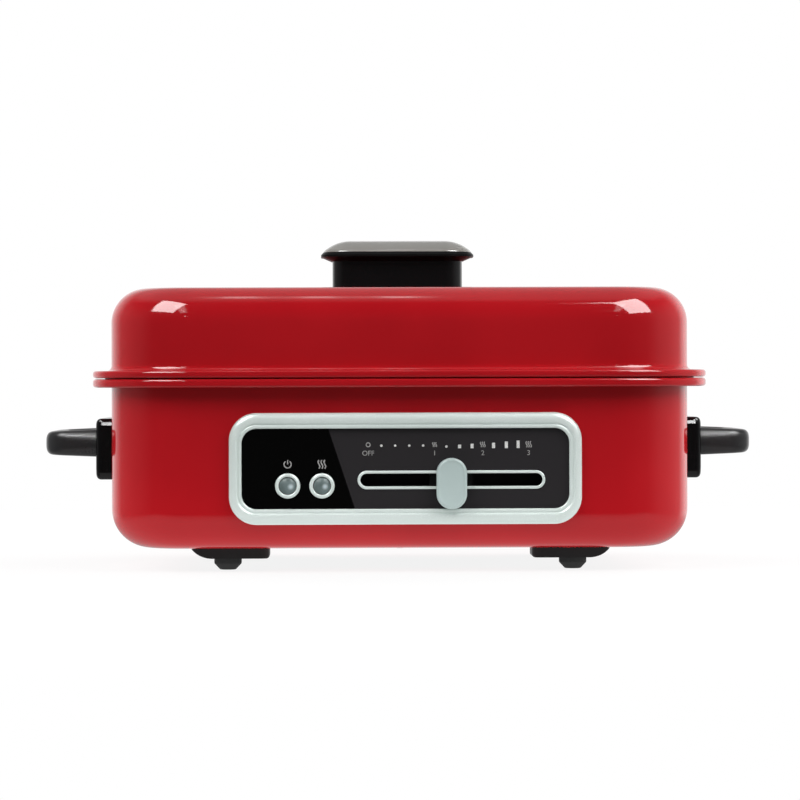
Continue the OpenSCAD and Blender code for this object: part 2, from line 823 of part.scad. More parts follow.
module control_chassis() {
  shelf_w = 2*(ear_offset + ear_t);
  ear_r = 4.4;
  color(steel) difference() {
    union() {
      translate([slot_mid - shelf_w/2, shelf_front, floor_z]) {
        cube([shelf_w, shelf_back - shelf_front, shelf_t]);
      }
      for (sx = [-1, 1]) {
        translate([slot_mid + sx*(ear_offset + ear_t/2) - ear_t/2, 0, 0]) {
          translate([0, rod_y, rod_z]) rotate([0, 90, 0]) cylinder(r = ear_r, h = ear_t);
          translate([0, rod_y, floor_z + 2.4]) {
            cube([ear_t, shelf_front + 6 - rod_y, rod_z + ear_r - floor_z - 2.4]);
          }
          translate([0, shelf_front, floor_z]) cube([ear_t, 6, rod_z + ear_r - floor_z]);
        }
      }
    }
    translate([slot_mid - shelf_w, rod_y, rod_z]) rotate([0, 90, 0]) cylinder(d = rod_d, h = 2*shelf_w);
    chassis_screw_places() translate([0, 0, -shelf_t - 1]) cylinder(d = screw_hole_d, h = shelf_t + 2);
  }
}

module chassis_screws() {
  color(steel) chassis_screw_places() screw(shelf_t + sheet + 2);
}

module thermostat_body() {
  bush_d = spindle_d + 4;
  color(matt_grey) difference() {
    union() {
      translate([slot_mid - thermo_w/2, pinion_y - thermo_d/2, thermo_z]) {
        cube([thermo_w, thermo_d, thermo_top - thermo_z]);
      }
      translate([slot_mid, pinion_y, thermo_top - eps]) cylinder(d = bush_d, h = gear_z - thermo_top - 0.4);
      for (sx = [-1, 1]) {
        translate([slot_mid + sx*tab_x - tab_w/2, pinion_y + thermo_d/2 - eps, lead_z - tab_t/2]) {
          cube([tab_w, tab_l, tab_t]);
        }
      }
    }
    translate([slot_mid, pinion_y, thermo_z + 3]) cylinder(d = spindle_d + 2*run_gap, h = 40);
  }
}

module thermostat_spindle() {
  color(steel) translate([slot_mid, pinion_y, thermo_z + 3.2]) {
    cylinder(d = spindle_d, h = gear_z + gear_face + 1 - thermo_z - 3.2);
  }
}

// Involute pinion
function involute(a) = tan(a) - a*PI/180;
function tooth_half(r) = let (base = pitch_r*cos(20)) 180/PI*(
  (PI*gear_module/4 - backlash/2)/pitch_r + involute(20) - involute(acos(min(1, base/max(r, base))))
);
function polar(r, a) = [r*cos(a), r*sin(a)];

module drive_pinion() {
  root = pitch_r - tooth_foot;
  base = pitch_r*cos(20);
  tip = pitch_r + gear_module;
  steps = 4;
  radii = concat([root], [for (i = [0:steps]) base + (tip - base)*i/steps]);
  count = len(radii);
  teeth = [for (n = [0:pinion_teeth - 1]) let (mid = -90 + (n + 0.5)*360/pinion_teeth) each concat(
    [for (i = [0:count - 1]) polar(radii[i], mid - tooth_half(radii[i]))],
    [for (i = [count - 1:-1:0]) polar(radii[i], mid + tooth_half(radii[i]))]
  )];
  color(ceramic_white) translate([slot_mid, pinion_y, gear_z]) linear_extrude(gear_face) difference() {
    polygon(teeth);
    circle(d = spindle_d);
  }
}

// Sensing bulb under the pot and its capillary
module sensor_bulb() {
  color(steel) translate([bulb_x, bulb_y, bulb_z]) rotate([-90, 0, 0]) cylinder(d = bulb_d, h = bulb_l);
}

module capillary_tube() {
  start_x = slot_mid - thermo_w/2;
  color(steel) bent_tube([
    [start_x, pinion_y - 5, thermo_z + 3], [bulb_x, pinion_y - 5, thermo_z + 3],
    [bulb_x, pinion_y - 5, bulb_z], [bulb_x, bulb_y, bulb_z]
  ], capillary_d, 5);
}

// Heating element, its supports and its bushes
module heating_element() {
  block_top = floor_z + block_h;
  color(steel) {
    bent_tube([
      [-heater_end_x, heater_back, block_top + 3], [-heater_end_x, heater_back, heater_z],
      [-heater_x, heater_back, heater_z], [-heater_x, heater_front, heater_z],
      [-heater_inner_x, heater_front, heater_z], [-heater_inner_x, heater_inner_y, heater_z],
      [heater_inner_x, heater_inner_y, heater_z], [heater_inner_x, heater_front, heater_z],
      [heater_x, heater_front, heater_z], [heater_x, heater_back, heater_z],
      [heater_end_x, heater_back, heater_z], [heater_end_x, heater_back, block_top + 3]
    ], heater_d, heater_bend);
    for (sx = [-1, 1]) {
      translate([sx*heater_end_x, heater_back, block_top - 6]) cylinder(d = cold_pin_d, h = 10);
    }
  }
}

module element_supports() {
  strip_t = 1.5;
  strip_l = 2*heater_x + 16;
  color(steel) for (y = support_y) {
    difference() {
      translate([-strip_l/2, y - strip_t/2, liner_top]) cube([strip_l, strip_t, heater_z - liner_top]);
      for (x = [-heater_x, -heater_inner_x, heater_inner_x, heater_x]) {
        translate([x, y, heater_z]) rotate([90, 0, 0]) {
          cylinder(d = heater_d + 0.2, h = strip_t + 2, center = true);
        }
      }
    }
  }
}

module element_bushes() {
  color(ceramic_white) for (sx = [-1, 1]) {
    translate([sx*heater_end_x, heater_back, 0]) difference() {
      union() {
        translate([0, 0, liner_top]) cylinder(d = heater_d + 7, h = bush_flange);
        translate([0, 0, liner_z - 3]) cylinder(d = heater_d + 3, h = liner_t + 3 + eps);
      }
      translate([0, 0, liner_z - 4]) cylinder(d = heater_d, h = liner_t + 8);
    }
  }
}

// Reflector liner, held up under the pot seat by posts
module liner_profile() {
  wall_top = seat_z - sheet;
  translate([-liner_inset - liner_t, liner_z + liner_floor_r]) {
    square([liner_t, wall_top - liner_z - liner_floor_r]);
  }
  translate([-liner_inset - liner_floor_r, liner_z + liner_floor_r]) quarter_ring(liner_floor_r, liner_t);
  translate([-liner_inset - liner_t, wall_top - liner_t]) {
    square([liner_inset + liner_t - sheet - 1, liner_t]);
  }
}

module reflector_liner() {
  inset = liner_inset + liner_floor_r;
  color(steel) difference() {
    union() {
      frame_sweep(body_w, body_d, corner_r) liner_profile();
      translate([0, 0, liner_z]) linear_extrude(liner_t) {
        rounded(body_w - 2*inset, body_d - 2*inset, corner_r - inset);
      }
    }
    for (sx = [-1, 1]) {
      translate([sx*heater_end_x, heater_back, liner_z - 1]) cylinder(d = heater_d + 3, h = liner_t + 2);
    }
    translate([bulb_x, pinion_y - 5, liner_z - 1]) cylinder(d = capillary_d + 1, h = liner_t + 2);
  }
}

module liner_posts() {
  color(steel) for (sx = [-1, 1], sy = [-1, 1]) {
    translate([sx*post_x, sy*post_y, body_z]) cylinder(d = liner_post_d, h = liner_z - body_z);
  }
}

// Wiring
module terminal_block() {
  color(ceramic_white) difference() {
    translate([-block_w/2, heater_back - block_d/2, floor_z]) cube([block_w, block_d, block_h]);
    for (sx = [-1, 1]) {
      translate([sx*heater_end_x, heater_back, floor_z + block_h - 6]) cylinder(d = cold_pin_d, h = 10);
    }
  }
}

module thermal_fuse() {
  color(ceramic_white) translate([block_w/2, heater_back, lead_z]) rotate([0, 90, 0]) {
    cylinder(d = 1.2, h = fuse_stub + 1);
    translate([0, 0, fuse_stub]) cylinder(d = lead_d + 2, h = fuse_l);
  }
}

module live_lead() {
  x = inlet_x + pin_pitch/2;
  y = inlet_tab_y + inlet_tab_t/2;
  start_x = slot_mid + tab_x;
  tab_y = pinion_y + thermo_d/2 + tab_l;
  color(lead_white) bent_tube([
    [x, y, inlet_tab_end], [x, y, lead_z], [x, tab_y + 7, lead_z], [start_x, tab_y + 7, lead_z],
    [start_x, tab_y, lead_z]
  ], lead_d, lead_bend);
}

module neutral_lead() {
  x = inlet_x - pin_pitch/2;
  y = inlet_tab_y + inlet_tab_t/2;
  color(lead_white) bent_tube([
    [x, y, inlet_tab_end], [x, y, lead_z], [x, heater_back, lead_z],
    [block_w/2 + fuse_stub + fuse_l, heater_back, lead_z]
  ], lead_d, lead_bend);
}

module heater_lead() {
  start_x = slot_mid - tab_x;
  tab_y = pinion_y + thermo_d/2 + tab_l;
  run_x = -40;
  color(lead_white) bent_tube([
    [start_x, tab_y, lead_z], [start_x, tab_y + 12, lead_z], [run_x, tab_y + 12, lead_z],
    [run_x, heater_back, lead_z], [-block_w/2, heater_back, lead_z]
  ], lead_d, lead_bend);
}

// Appliance inlet on the rear wall
module inlet_screw_places() {
  for (sx = [-1, 1]) {
    on_back(inlet_x + sx*(inlet_w/2 + 5.2), inlet_z, inlet_flange_t) children();
  }
}

module power_inlet() {
  housing_w = inlet_w + 4.4;
  housing_h = inlet_h + 4.4;
  flange_w = inlet_w + 2*inlet_flange + 3;
  flange_h = inlet_h + 2*inlet_flange;
  color(gloss_black) difference() {
    union() {
      on_back(inlet_x, inlet_z) pad(flange_w, flange_h, 6, inlet_flange_t, 1);
      on_back(inlet_x, inlet_z, inlet_back_y - back_y) linear_extrude(back_y - inlet_back_y + eps) {
        rounded(housing_w, housing_h, 4.6);
      }
    }
    on_back(inlet_x, inlet_z, inlet_flange_t - inlet_depth) linear_extrude(inlet_depth + 1) {
      rounded(inlet_w, inlet_h, 4);
    }
    for (sx = [-1, 1]) {
      translate([inlet_x + sx*pin_pitch/2, inlet_back_y - 1, inlet_z]) rotate([-90, 0, 0]) {
        cylinder(d = pin_d, h = inlet_back + 2);
      }
    }
    inlet_screw_places() translate([0, 0, -inlet_flange_t - 1]) cylinder(d = screw_hole_d, h = 6);
  }
}

module inlet_pins() {
  color(steel) for (sx = [-1, 1]) {
    translate([inlet_x + sx*pin_pitch/2, 0, 0]) {
      translate([0, inlet_tab_y, inlet_z]) rotate([-90, 0, 0]) {
        cylinder(d = pin_d, h = inlet_tab_t + inlet_back + inlet_depth - 1.2);
      }
      translate([-inlet_tab_w/2, inlet_tab_y, inlet_tab_end]) {
        cube([inlet_tab_w, inlet_tab_t, inlet_z - inlet_tab_end]);
      }
    }
  }
}

module inlet_keepers() {
  keeper_w = 4;
  color(steel) for (sx = [-1, 1]) {
    on_back(inlet_x + sx*(inlet_w/2 - 4.2), inlet_z, inlet_flange_t - inlet_depth) linear_extrude(1) {
      rounded(keeper_w, inlet_h - 8, 1);
    }
  }
}

module inlet_screws() {
  color(steel) inlet_screw_places() screw(inlet_flange_t + sheet + 3);
}

// Side handles
module handle_screw_places() {
  for (side = [-1, 1], sy = [-1, 1]) {
    on_side(side, handle_z) translate([sy*(handle_base_l/2 - handle_screw_in), 0, 0]) children();
  }
}

module handle_base(side) {
  color(gloss_black) difference() {
    on_side(side, handle_z) {
      pad(handle_base_l, handle_base_h, handle_base_r, handle_base_t, handle_base_edge);
    }
    handle_screw_places() translate([0, 0, -1]) cylinder(d = screw_d, h = handle_screw_depth);
  }
}

module handle_base_left() handle_base(-1);
module handle_base_right() handle_base(1);

module grip_section() rounded(grip_bar, grip_root_h, grip_section_r);

// Loop of the grip: two legs and a bar with round corners, thinner towards the tip
module handle_grip(side) {
  leg_y = grip_l/2 - grip_bar/2;
  leg_l = grip_reach - grip_bar/2 - grip_bend;
  bar_y = leg_y - grip_bend;
  root = grip_root_h/2;
  tip = grip_tip_h/2;
  tip_z = grip_reach - grip_tip_r;
  color(matt_grey) on_side(side, handle_z + grip_rise, handle_base_t) intersection() {
    union() {
      for (sy = [-1, 1]) {
        translate([sy*leg_y, 0, 0]) linear_extrude(leg_l) grip_section();
        translate([sy*bar_y, 0, leg_l]) rotate([-90, 0, 0]) mirror([0, 0, 1]) rotate(sy > 0 ? -90 : 180) {
          rotate_extrude(angle = 90) translate([grip_bend, 0]) grip_section();
        }
      }
      translate([-bar_y, 0, leg_l + grip_bend]) rotate([0, 90, 0]) linear_extrude(2*bar_y) grip_section();
    }
    translate([-grip_l, 0, 0]) rotate([90, 0, 90]) linear_extrude(2*grip_l) {
      polygon([[-root, -1], [root, -1], [root, 0], [tip, tip_z], [-tip, tip_z], [-root, 0]]);
      translate([grip_tip_r - tip, tip_z - grip_tip_r]) square([2*(tip - grip_tip_r), 2*grip_tip_r]);
      for (s = [-1, 1]) translate([s*(tip - grip_tip_r), tip_z]) circle(grip_tip_r);
    }
  }
}

module handle_grip_left() handle_grip(-1);
module handle_grip_right() handle_grip(1);

module handle_screws() {
  color(steel) handle_screw_places() translate([0, 0, -sheet]) rotate([180, 0, 0]) screw(sheet + 4.5);
}

// Pot, with its drafted wall, its floor and the rim that the lid stands on
module pot_profile() {
  reach = seat_reach - loose_gap;
  rise = lid_z - seat_z;
  top = (lid_z - pot_floor_z)/cos(pot_draft);
  tangent = [pot_cu + pot_floor_r*pot_nx, pot_cz + pot_floor_r*pot_nz];
  up = [-pot_nz, pot_nx];
  far = 2*pot_floor_r;
  bead_w = 2.4;
  intersection() {
    polygon([
      tangent - eps*up, tangent + top*up, tangent + top*up - pot_wall*[pot_nx, pot_nz],
      tangent - eps*up - pot_wall*[pot_nx, pot_nz]
    ]);
    translate([-corner_r, pot_floor_z]) square([corner_r, lid_z - pot_floor_z]);
  }
  translate([pot_cu, pot_cz]) intersection() {
    difference() {
      circle(pot_floor_r);
      circle(pot_floor_r - pot_wall);
    }
    polygon([[0, 0], far*[pot_nx, pot_nz], far*[1, -1], [0, -far]]);
  }
  translate([-pot_inset - 0.6, seat_z]) square([pot_inset + 0.6 + reach, rise]);
  translate([-sheet - 1.2 - bead_w, lid_z - eps]) square([bead_w, 2]);
}

module cooking_pot() {
  color(dark_pan) {
    frame_sweep(body_w, body_d, corner_r) pot_profile();
    translate([0, 0, pot_floor_z]) linear_extrude(pot_wall) {
      rounded(body_w + 2*pot_cu, body_d + 2*pot_cu, corner_r + pot_cu);
    }
  }
}

module grill_plate() {
  margin = 9;
  ridge_l = grill_d - 2*margin;
  ridges = 2*floor((grill_w/2 - margin - ridge_w/2)/ridge_pitch);
  slot_w = ridge_pitch - ridge_w - 3;
  color(dark_pan) difference() {
    union() {
      translate([0, 0, grill_z]) linear_extrude(grill_t) rounded(grill_w, grill_d, grill_r);
      for (n = [0:ridges]) {
        translate([(n - ridges/2)*ridge_pitch, ridge_l/2, grill_z + grill_t - eps]) {
          rotate([90, 0, 0]) linear_extrude(ridge_l) polygon([
            [-ridge_w/2, 0], [ridge_w/2, 0], [ridge_w/4, ridge_h], [-ridge_w/4, ridge_h]
          ]);
        }
      }
      for (sx = [-1, 1], sy = [-1, 1]) {
        translate([sx*(grill_w/2 - 14), sy*(grill_d/2 - 14), pot_floor_top]) {
          cylinder(d = 9, h = grill_foot_h + eps);
        }
      }
    }
    for (n = [0:2:ridges - 1], sy = [-1, 1]) {
      translate([(n + 0.5 - ridges/2)*ridge_pitch, sy*ridge_l/4, grill_z - 1]) {
        linear_extrude(grill_t + 2) rounded(slot_w, ridge_l/3, slot_w/2);
      }
    }
  }
}

// Lid
module lid_profile() {
  rim_top = lid_z + lid_rim_h;
  wall_h = lid_h - lid_edge_r;
  translate([-sheet, lid_z]) square([sheet, wall_h]);
  translate([-lid_edge_r, lid_z + wall_h]) mirror([0, 1]) quarter_ring(lid_edge_r, sheet);
  translate([-eps, rim_top - sheet]) square([rim_reach - roll_r + eps, sheet]);
  translate([rim_reach - roll_w/2, rim_top - lid_rim_h/2]) rounded(roll_w, lid_rim_h, roll_r);
  translate([0, rim_top]) difference() {
    translate([-eps, -eps]) square(lid_fillet + eps);
    translate([lid_fillet, lid_fillet]) circle(lid_fillet);
  }
}

module lid_screw_places() {
  for (sx = [-1, 1]) translate([sx*(post_w/2 - 16), 0, lid_top]) children();
}

module lid_shell() {
  color(enamel_red) difference() {
    union() {
      frame_sweep(body_w, body_d, corner_r) lid_profile();
      translate([0, 0, lid_top - sheet]) linear_extrude(sheet) {
        rounded(body_w - 2*lid_edge_r, body_d - 2*lid_edge_r, corner_r - lid_edge_r);
      }
    }
    lid_screw_places() translate([0, 0, -sheet - 1]) cylinder(d = screw_hole_d, h = sheet + 2);
  }
}

module lid_handle_post() {
  color(gloss_black) difference() {
    translate([0, 0, post_z]) linear_extrude(post_h) rounded(post_w, post_d, post_r);
    lid_screw_places() translate([0, 0, -1]) cylinder(d = screw_d, h = 11);
  }
}

module lid_handle_cap() {
  crown_u = cap_r - 0.5;
  crown_top = cap_z + cap_h;
  color(matt_grey) {
    frame_sweep(cap_w, cap_d, cap_r) {
      difference() {
        intersection() {
          translate([-crown_u, crown_top - cap_crown_r]) circle(cap_crown_r);
          translate([-crown_u, cap_z]) square([crown_u, cap_h]);
        }
        polygon([
          [-cap_overhang, cap_z - 1], [-cap_overhang, cap_z], [-cap_lip, cap_z + cap_cove_h],
          [1, cap_z + cap_cove_h], [1, cap_z - 1]
        ]);
      }
    }
    translate([0, 0, cap_z]) linear_extrude(cap_h) {
      rounded(cap_w - 2*crown_u, cap_d - 2*crown_u, cap_r - crown_u);
    }
  }
}

module lid_backing_plate() {
  color(steel) difference() {
    translate([0, 0, lid_top - 2*sheet]) linear_extrude(sheet) rounded(post_w - 8, post_d - 8, post_r - 4);
    lid_screw_places() translate([0, 0, -2*sheet - 1]) cylinder(d = screw_hole_d, h = sheet + 2);
  }
}

module lid_handle_screws() {
  color(steel) lid_screw_places() translate([0, 0, -2*sheet]) rotate([180, 0, 0]) screw(2*sheet + 9);
}

body_shell();
base_plate();
base_screws();
foot_bracket_front_left();
foot_bracket_front_right();
foot_bracket_rear_left();
foot_bracket_rear_right();
rubber_foot_front_left();
rubber_foot_front_right();
rubber_foot_rear_left();
rubber_foot_rear_right();
foot_screws();
control_bezel();
control_panel();
bezel_screws();
slot_trim();
power_lamp_ring();
heating_lamp_ring();
power_lamp_lens();
heating_lamp_lens();
power_neon();
heating_neon();
lamp_leads();
slider_knob();
slider_carriage();
guide_rod();
control_chassis();
chassis_screws();
thermostat_body();
thermostat_spindle();
drive_pinion();
sensor_bulb();
capillary_tube();
heating_element();
element_supports();
element_bushes();
reflector_liner();
liner_posts();
terminal_block();
thermal_fuse();
live_lead();
neutral_lead();
heater_lead();
power_inlet();
inlet_pins();
inlet_keepers();
inlet_screws();
handle_base_left();
handle_base_right();
handle_grip_left();
handle_grip_right();
handle_screws();
cooking_pot();
grill_plate();
lid_shell();
lid_handle_post();
lid_handle_cap();
lid_backing_plate();
lid_handle_screws();
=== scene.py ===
import math
import bmesh
import bpy
from mathutils import Euler, Matrix, Vector


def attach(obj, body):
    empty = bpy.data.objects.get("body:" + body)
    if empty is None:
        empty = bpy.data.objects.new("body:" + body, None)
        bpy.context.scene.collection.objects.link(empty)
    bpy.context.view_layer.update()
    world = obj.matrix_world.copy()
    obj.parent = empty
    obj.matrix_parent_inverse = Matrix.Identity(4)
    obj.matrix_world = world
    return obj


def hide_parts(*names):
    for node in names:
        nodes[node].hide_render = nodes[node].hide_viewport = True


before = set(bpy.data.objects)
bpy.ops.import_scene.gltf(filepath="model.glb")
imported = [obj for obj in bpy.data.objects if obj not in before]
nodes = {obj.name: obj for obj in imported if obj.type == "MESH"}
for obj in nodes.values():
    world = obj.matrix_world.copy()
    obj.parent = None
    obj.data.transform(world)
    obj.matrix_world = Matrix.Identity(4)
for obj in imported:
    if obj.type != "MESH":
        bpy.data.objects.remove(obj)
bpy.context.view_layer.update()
mm = 0.001


# Shader arithmetic

class Wire:
    # wraps one socket, and adds a Math node for every operator
    def __init__(self, tree, socket=None):
        self.tree = tree
        self.socket = socket

    def add(self, kind, settings=None, links=None, out=0):
        made = self.tree.nodes.new("ShaderNode" + kind)
        for name, value in (settings or {}).items():
            if name == "stops":
                setStops(made.color_ramp, value)
            else:
                setattr(made, name, value)
        for key, value in (links or {}).items():
            if isinstance(value, Wire):
                self.tree.links.new(value.socket, made.inputs[key])
            else:
                made.inputs[key].default_value = value
        return Wire(self.tree, made.outputs[out] if len(made.outputs) else None)

    def other(self, out):
        return Wire(self.tree, self.socket.node.outputs[out])

    def maths(self, operation, first, second=0.0):
        return self.add("Math", {"operation": operation}, {0: first, 1: second})

    def __add__(self, other):
        return self.maths("ADD", self, other)

    def __radd__(self, other):
        return self.maths("ADD", other, self)

    def __sub__(self, other):
        return self.maths("SUBTRACT", self, other)

    def __rsub__(self, other):
        return self.maths("SUBTRACT", other, self)

    def __mul__(self, other):
        return self.maths("MULTIPLY", self, other)

    def __rmul__(self, other):
        return self.maths("MULTIPLY", other, self)


def emptyTree(owner):
    # the nodes of a new material or world, without those it starts with
    owner.use_nodes = True
    owner.node_tree.nodes.clear()
    return Wire(owner.node_tree)


def setStops(ramp, stops):
    while len(ramp.elements) < len(stops):
        ramp.elements.new(1.0)
    for element, (position, colour) in zip(ramp.elements, stops):
        element.position = position
        element.color = colour


def srgb(red, green, blue):
    share = [c / 255 for c in (red, green, blue)]
    return (*[c / 12.92 if c <= 0.04045 else ((c + 0.055) / 1.055) ** 2.4 for c in share], 1.0)


def noise(kit, place, scale, detail):
    return kit.add("TexNoise", {}, {"Vector": place, "Scale": scale, "Detail": detail})


def smooth(kit, value, low, high):
    settings = {"interpolation_type": "SMOOTHSTEP"}
    return kit.add("MapRange", settings, {"Value": value, "From Min": low, "From Max": high})


def between(limits, share):
    low, high = limits
    return low + (high - low) * share


def shared(share, first, second):
    return first * share + second * (1 - share)


def mixColour(kit, share, first, second):
    # 6, 7 and 2 are the colour sockets of the Mix node
    return kit.add("Mix", {"data_type": "RGBA"}, {0: share, 6: first, 7: second}, out=2)


def stretched(kit, place, x, y, z):
    return kit.add("VectorMath", {"operation": "MULTIPLY"}, {0: place, 1: (x, y, z)})


# Camera, read off the photograph: the eye is level with the gap between the rims

eye = {
    "imageSide": 800,        # pixels
    "focal": 3371,           # pixels
    "sensor": 36,            # mm
    "distance": 2.0,         # metres from the middle of the pot
    "azimuth": -1.2,         # degrees, a little to the left of the front
    "height": 0.1095,        # metres above the floor
    "middleColumn": 397.3,   # pixel column of the pot's middle
    "horizonRow": 377,       # pixel row of the eye's own height
    "roll": 0.17,            # degrees, the right-hand side sits a little higher
}


def addCamera(s):
    data = bpy.data.cameras.new("camera")
    data.sensor_width = s["sensor"]
    data.lens = s["focal"] / s["imageSide"] * s["sensor"]
    data.shift_x = 0.5 - s["middleColumn"] / s["imageSide"]
    data.shift_y = s["horizonRow"] / s["imageSide"] - 0.5
    turn = math.radians(s["azimuth"])
    camera = bpy.data.objects.new("camera", data)
    camera.location = (s["distance"] * math.sin(turn), -s["distance"] * math.cos(turn), s["height"])
    level = Euler((math.pi / 2, 0, turn)).to_matrix()
    camera.rotation_euler = (level @ Matrix.Rotation(math.radians(-s["roll"]), 3, "Z")).to_euler()
    bpy.context.scene.collection.objects.link(camera)
    bpy.context.scene.camera = camera


addCamera(eye)
bpy.context.scene.view_settings.view_transform = "Standard"
print("camera set")


# Studio: white behind and beside the pot, a dim room behind the eye, soft boxes above

studio = {
    # direction along +Y and the light from there, first as a gloss shows it, then as it lights the colours
    "mirrored": [(-1.0, 0.05), (-0.6, 0.06), (-0.25, 0.17), (0.34, 0.25), (0.5, 0.27), (0.64, 0.6),
                 (0.77, 0.92), (0.87, 1.0)],
    "dayFill": [(-1.0, 0.16), (-0.2, 0.22), (0.3, 0.75), (1.0, 0.85)],
    # rise where each of them starts to dim, where it stops, and by how much
    "mirroredDim": (0.20, 0.75, 0.70),
    "fillDim": (0.2, 0.8, 0.5),
    "ceiling": (0.72, 0.95, 0.50),   # rise where the ceiling starts, where it is full, and its light
    "ceilingLean": 0.4,              # it comes lower towards the back
    "rightGain": (0.3, 0.9, 0.75),   # where the right-hand side starts, is full, and how much lighter it is
    "floorSide": 9.0,                # metres
    "floorSquares": 8,
    "floorDrop": 0.0004,
    "paper": (226, 226, 226),
    "paperGlow": (0.87, 1.0),        # share of the floor's own white for the eye, by the pot and far off
    "glowReach": (0.22, 0.75),
    "halfPlan": (0.165, 0.111),      # the pot's own half width and half depth
    "bounce": (0.12, 1.5),           # light that the paper sends back, far off and by the pot
    "mirroredBounce": 0.5,           # how light the paper by the pot looks in a gloss
    "bounceStart": (-0.07, -0.01),   # metres from the pot's plan, less than nothing under the pot
    "bounceEnd": (0.03, 0.16),
    "aim": (0.0, -0.04, 0.11),
}
# seen in a gloss only
highlights = {
    "highlightLeft": {"azimuth": -46.5, "elevation": 46.5, "distance": 1.15, "size": (0.62, 0.66),
                      "radiance": 11.5},
    "highlightRight": {"azimuth": 48.5, "elevation": 44, "distance": 1.15, "size": (0.66, 0.82),
                       "radiance": 11.5},
    "innerLeft": {"place": (-0.27, -0.78, 0.75), "size": (0.16, 0.66), "radiance": 2.2},
    "innerRight": {"place": (0.285, -0.76, 0.75), "size": (0.13, 0.62), "radiance": 2.2},
    "overheadStrip": {"place": (-0.048, -0.12, 1.3), "size": (0.21, 0.2), "radiance": 0.7},
    "overheadLeft": {"place": (-0.119, -0.12, 1.29), "size": (0.032, 0.17), "radiance": 2.7},
    "overheadMiddle": {"place": (-0.049, -0.12, 1.29), "size": (0.028, 0.17), "radiance": 2.6},
    "overheadRight": {"place": (0.023, -0.12, 1.29), "size": (0.032, 0.17), "radiance": 2.9},
    # narrow beams on the bevels of the handle bases and on the grips
    "bevelLeft": {"azimuth": -3.8, "elevation": 21.2, "distance": 1.0, "size": (0.06, 0.05),
                  "radiance": 0.06, "spread": 6, "aim": (-0.1705, -0.0448, 0.0835)},
    "bevelRight": {"azimuth": 6.5, "elevation": 21.2, "distance": 1.0, "size": (0.06, 0.05),
                   "radiance": 0.06, "spread": 6, "aim": (0.1705, -0.0448, 0.0835)},
    "gripLeft": {"azimuth": -5.5, "elevation": 37.8, "distance": 1.0, "size": (0.06, 0.05),
                 "radiance": 0.5, "spread": 7, "aim": (-0.191, -0.0395, 0.0745)},
    "gripRight": {"azimuth": 8.5, "elevation": 37.6, "distance": 1.0, "size": (0.06, 0.05),
                  "radiance": 0.6, "spread": 7, "aim": (0.191, -0.0395, 0.0745)},
}
# light the colours, and leave no highlight
keys = {
    "keyLeft": {"azimuth": -42, "elevation": 39, "distance": 1.15, "size": (0.80, 0.66), "radiance": 4.6},
    "keyRight": {"azimuth": 42, "elevation": 39, "distance": 1.15, "size": (0.80, 0.66), "radiance": 4.6},
    "edgeLeft": {"azimuth": -85, "elevation": 15, "distance": 1.2, "size": (0.7, 0.7), "radiance": 1.4},
    "edgeRight": {"azimuth": 85, "elevation": 15, "distance": 1.2, "size": (0.7, 0.7), "radiance": 3.6},
    "sideLeft": {"azimuth": -127, "elevation": 12, "distance": 1.2, "size": (0.9, 0.9), "radiance": 6.2},
    "sideRight": {"azimuth": 127, "elevation": 12, "distance": 1.2, "size": (0.9, 0.9), "radiance": 6.2},
}


def graded(kit, value, stops):
    # light that changes along a direction from -1 to 1
    ramp = [((place + 1) / 2, (light, light, light, 1)) for place, light in stops]
    return kit.add("ValToRGB", {"stops": ramp}, {0: value * 0.5 + 0.5})


def addWorld(s):
    world = bpy.data.worlds.new("studio")
    kit = emptyTree(world)
    ray = kit.add("LightPath", out="Is Camera Ray")
    seen = ray + ray.other("Is Transmission Ray")
    away = kit.add("SeparateXYZ", {}, {0: kit.add("TexCoord", out="Generated")}, out="Y")
    up, right = away.other("Z"), away.other("X")
    low, high, share = s["mirroredDim"]
    walls = graded(kit, away, s["mirrored"]) * (1 - share * smooth(kit, up, low, high))
    low, high, gain = s["rightGain"]
    walls = walls * (1 + gain * smooth(kit, right, low, high))
    low, high, glow = s["ceiling"]
    room = kit.maths("MAXIMUM", walls, glow * smooth(kit, up + s["ceilingLean"] * away, low, high))
    low, high, share = s["fillDim"]
    fill = graded(kit, away, s["dayFill"]) * (1 - share * smooth(kit, up, low, high))
    light = mixColour(kit, ray.other("Is Glossy Ray"), fill, room)
    background = kit.add("Background", {}, {"Color": mixColour(kit, seen, light, (1, 1, 1, 1))})
    kit.add("OutputWorld", {}, {"Surface": background})
    bpy.context.scene.world = world


def mixShaders(kit, share, first, second):
    return kit.add("MixShader", {}, {0: share, 1: first, 2: second})


def glowing(kit, colour):
    return kit.add("Emission", {}, {"Color": colour})


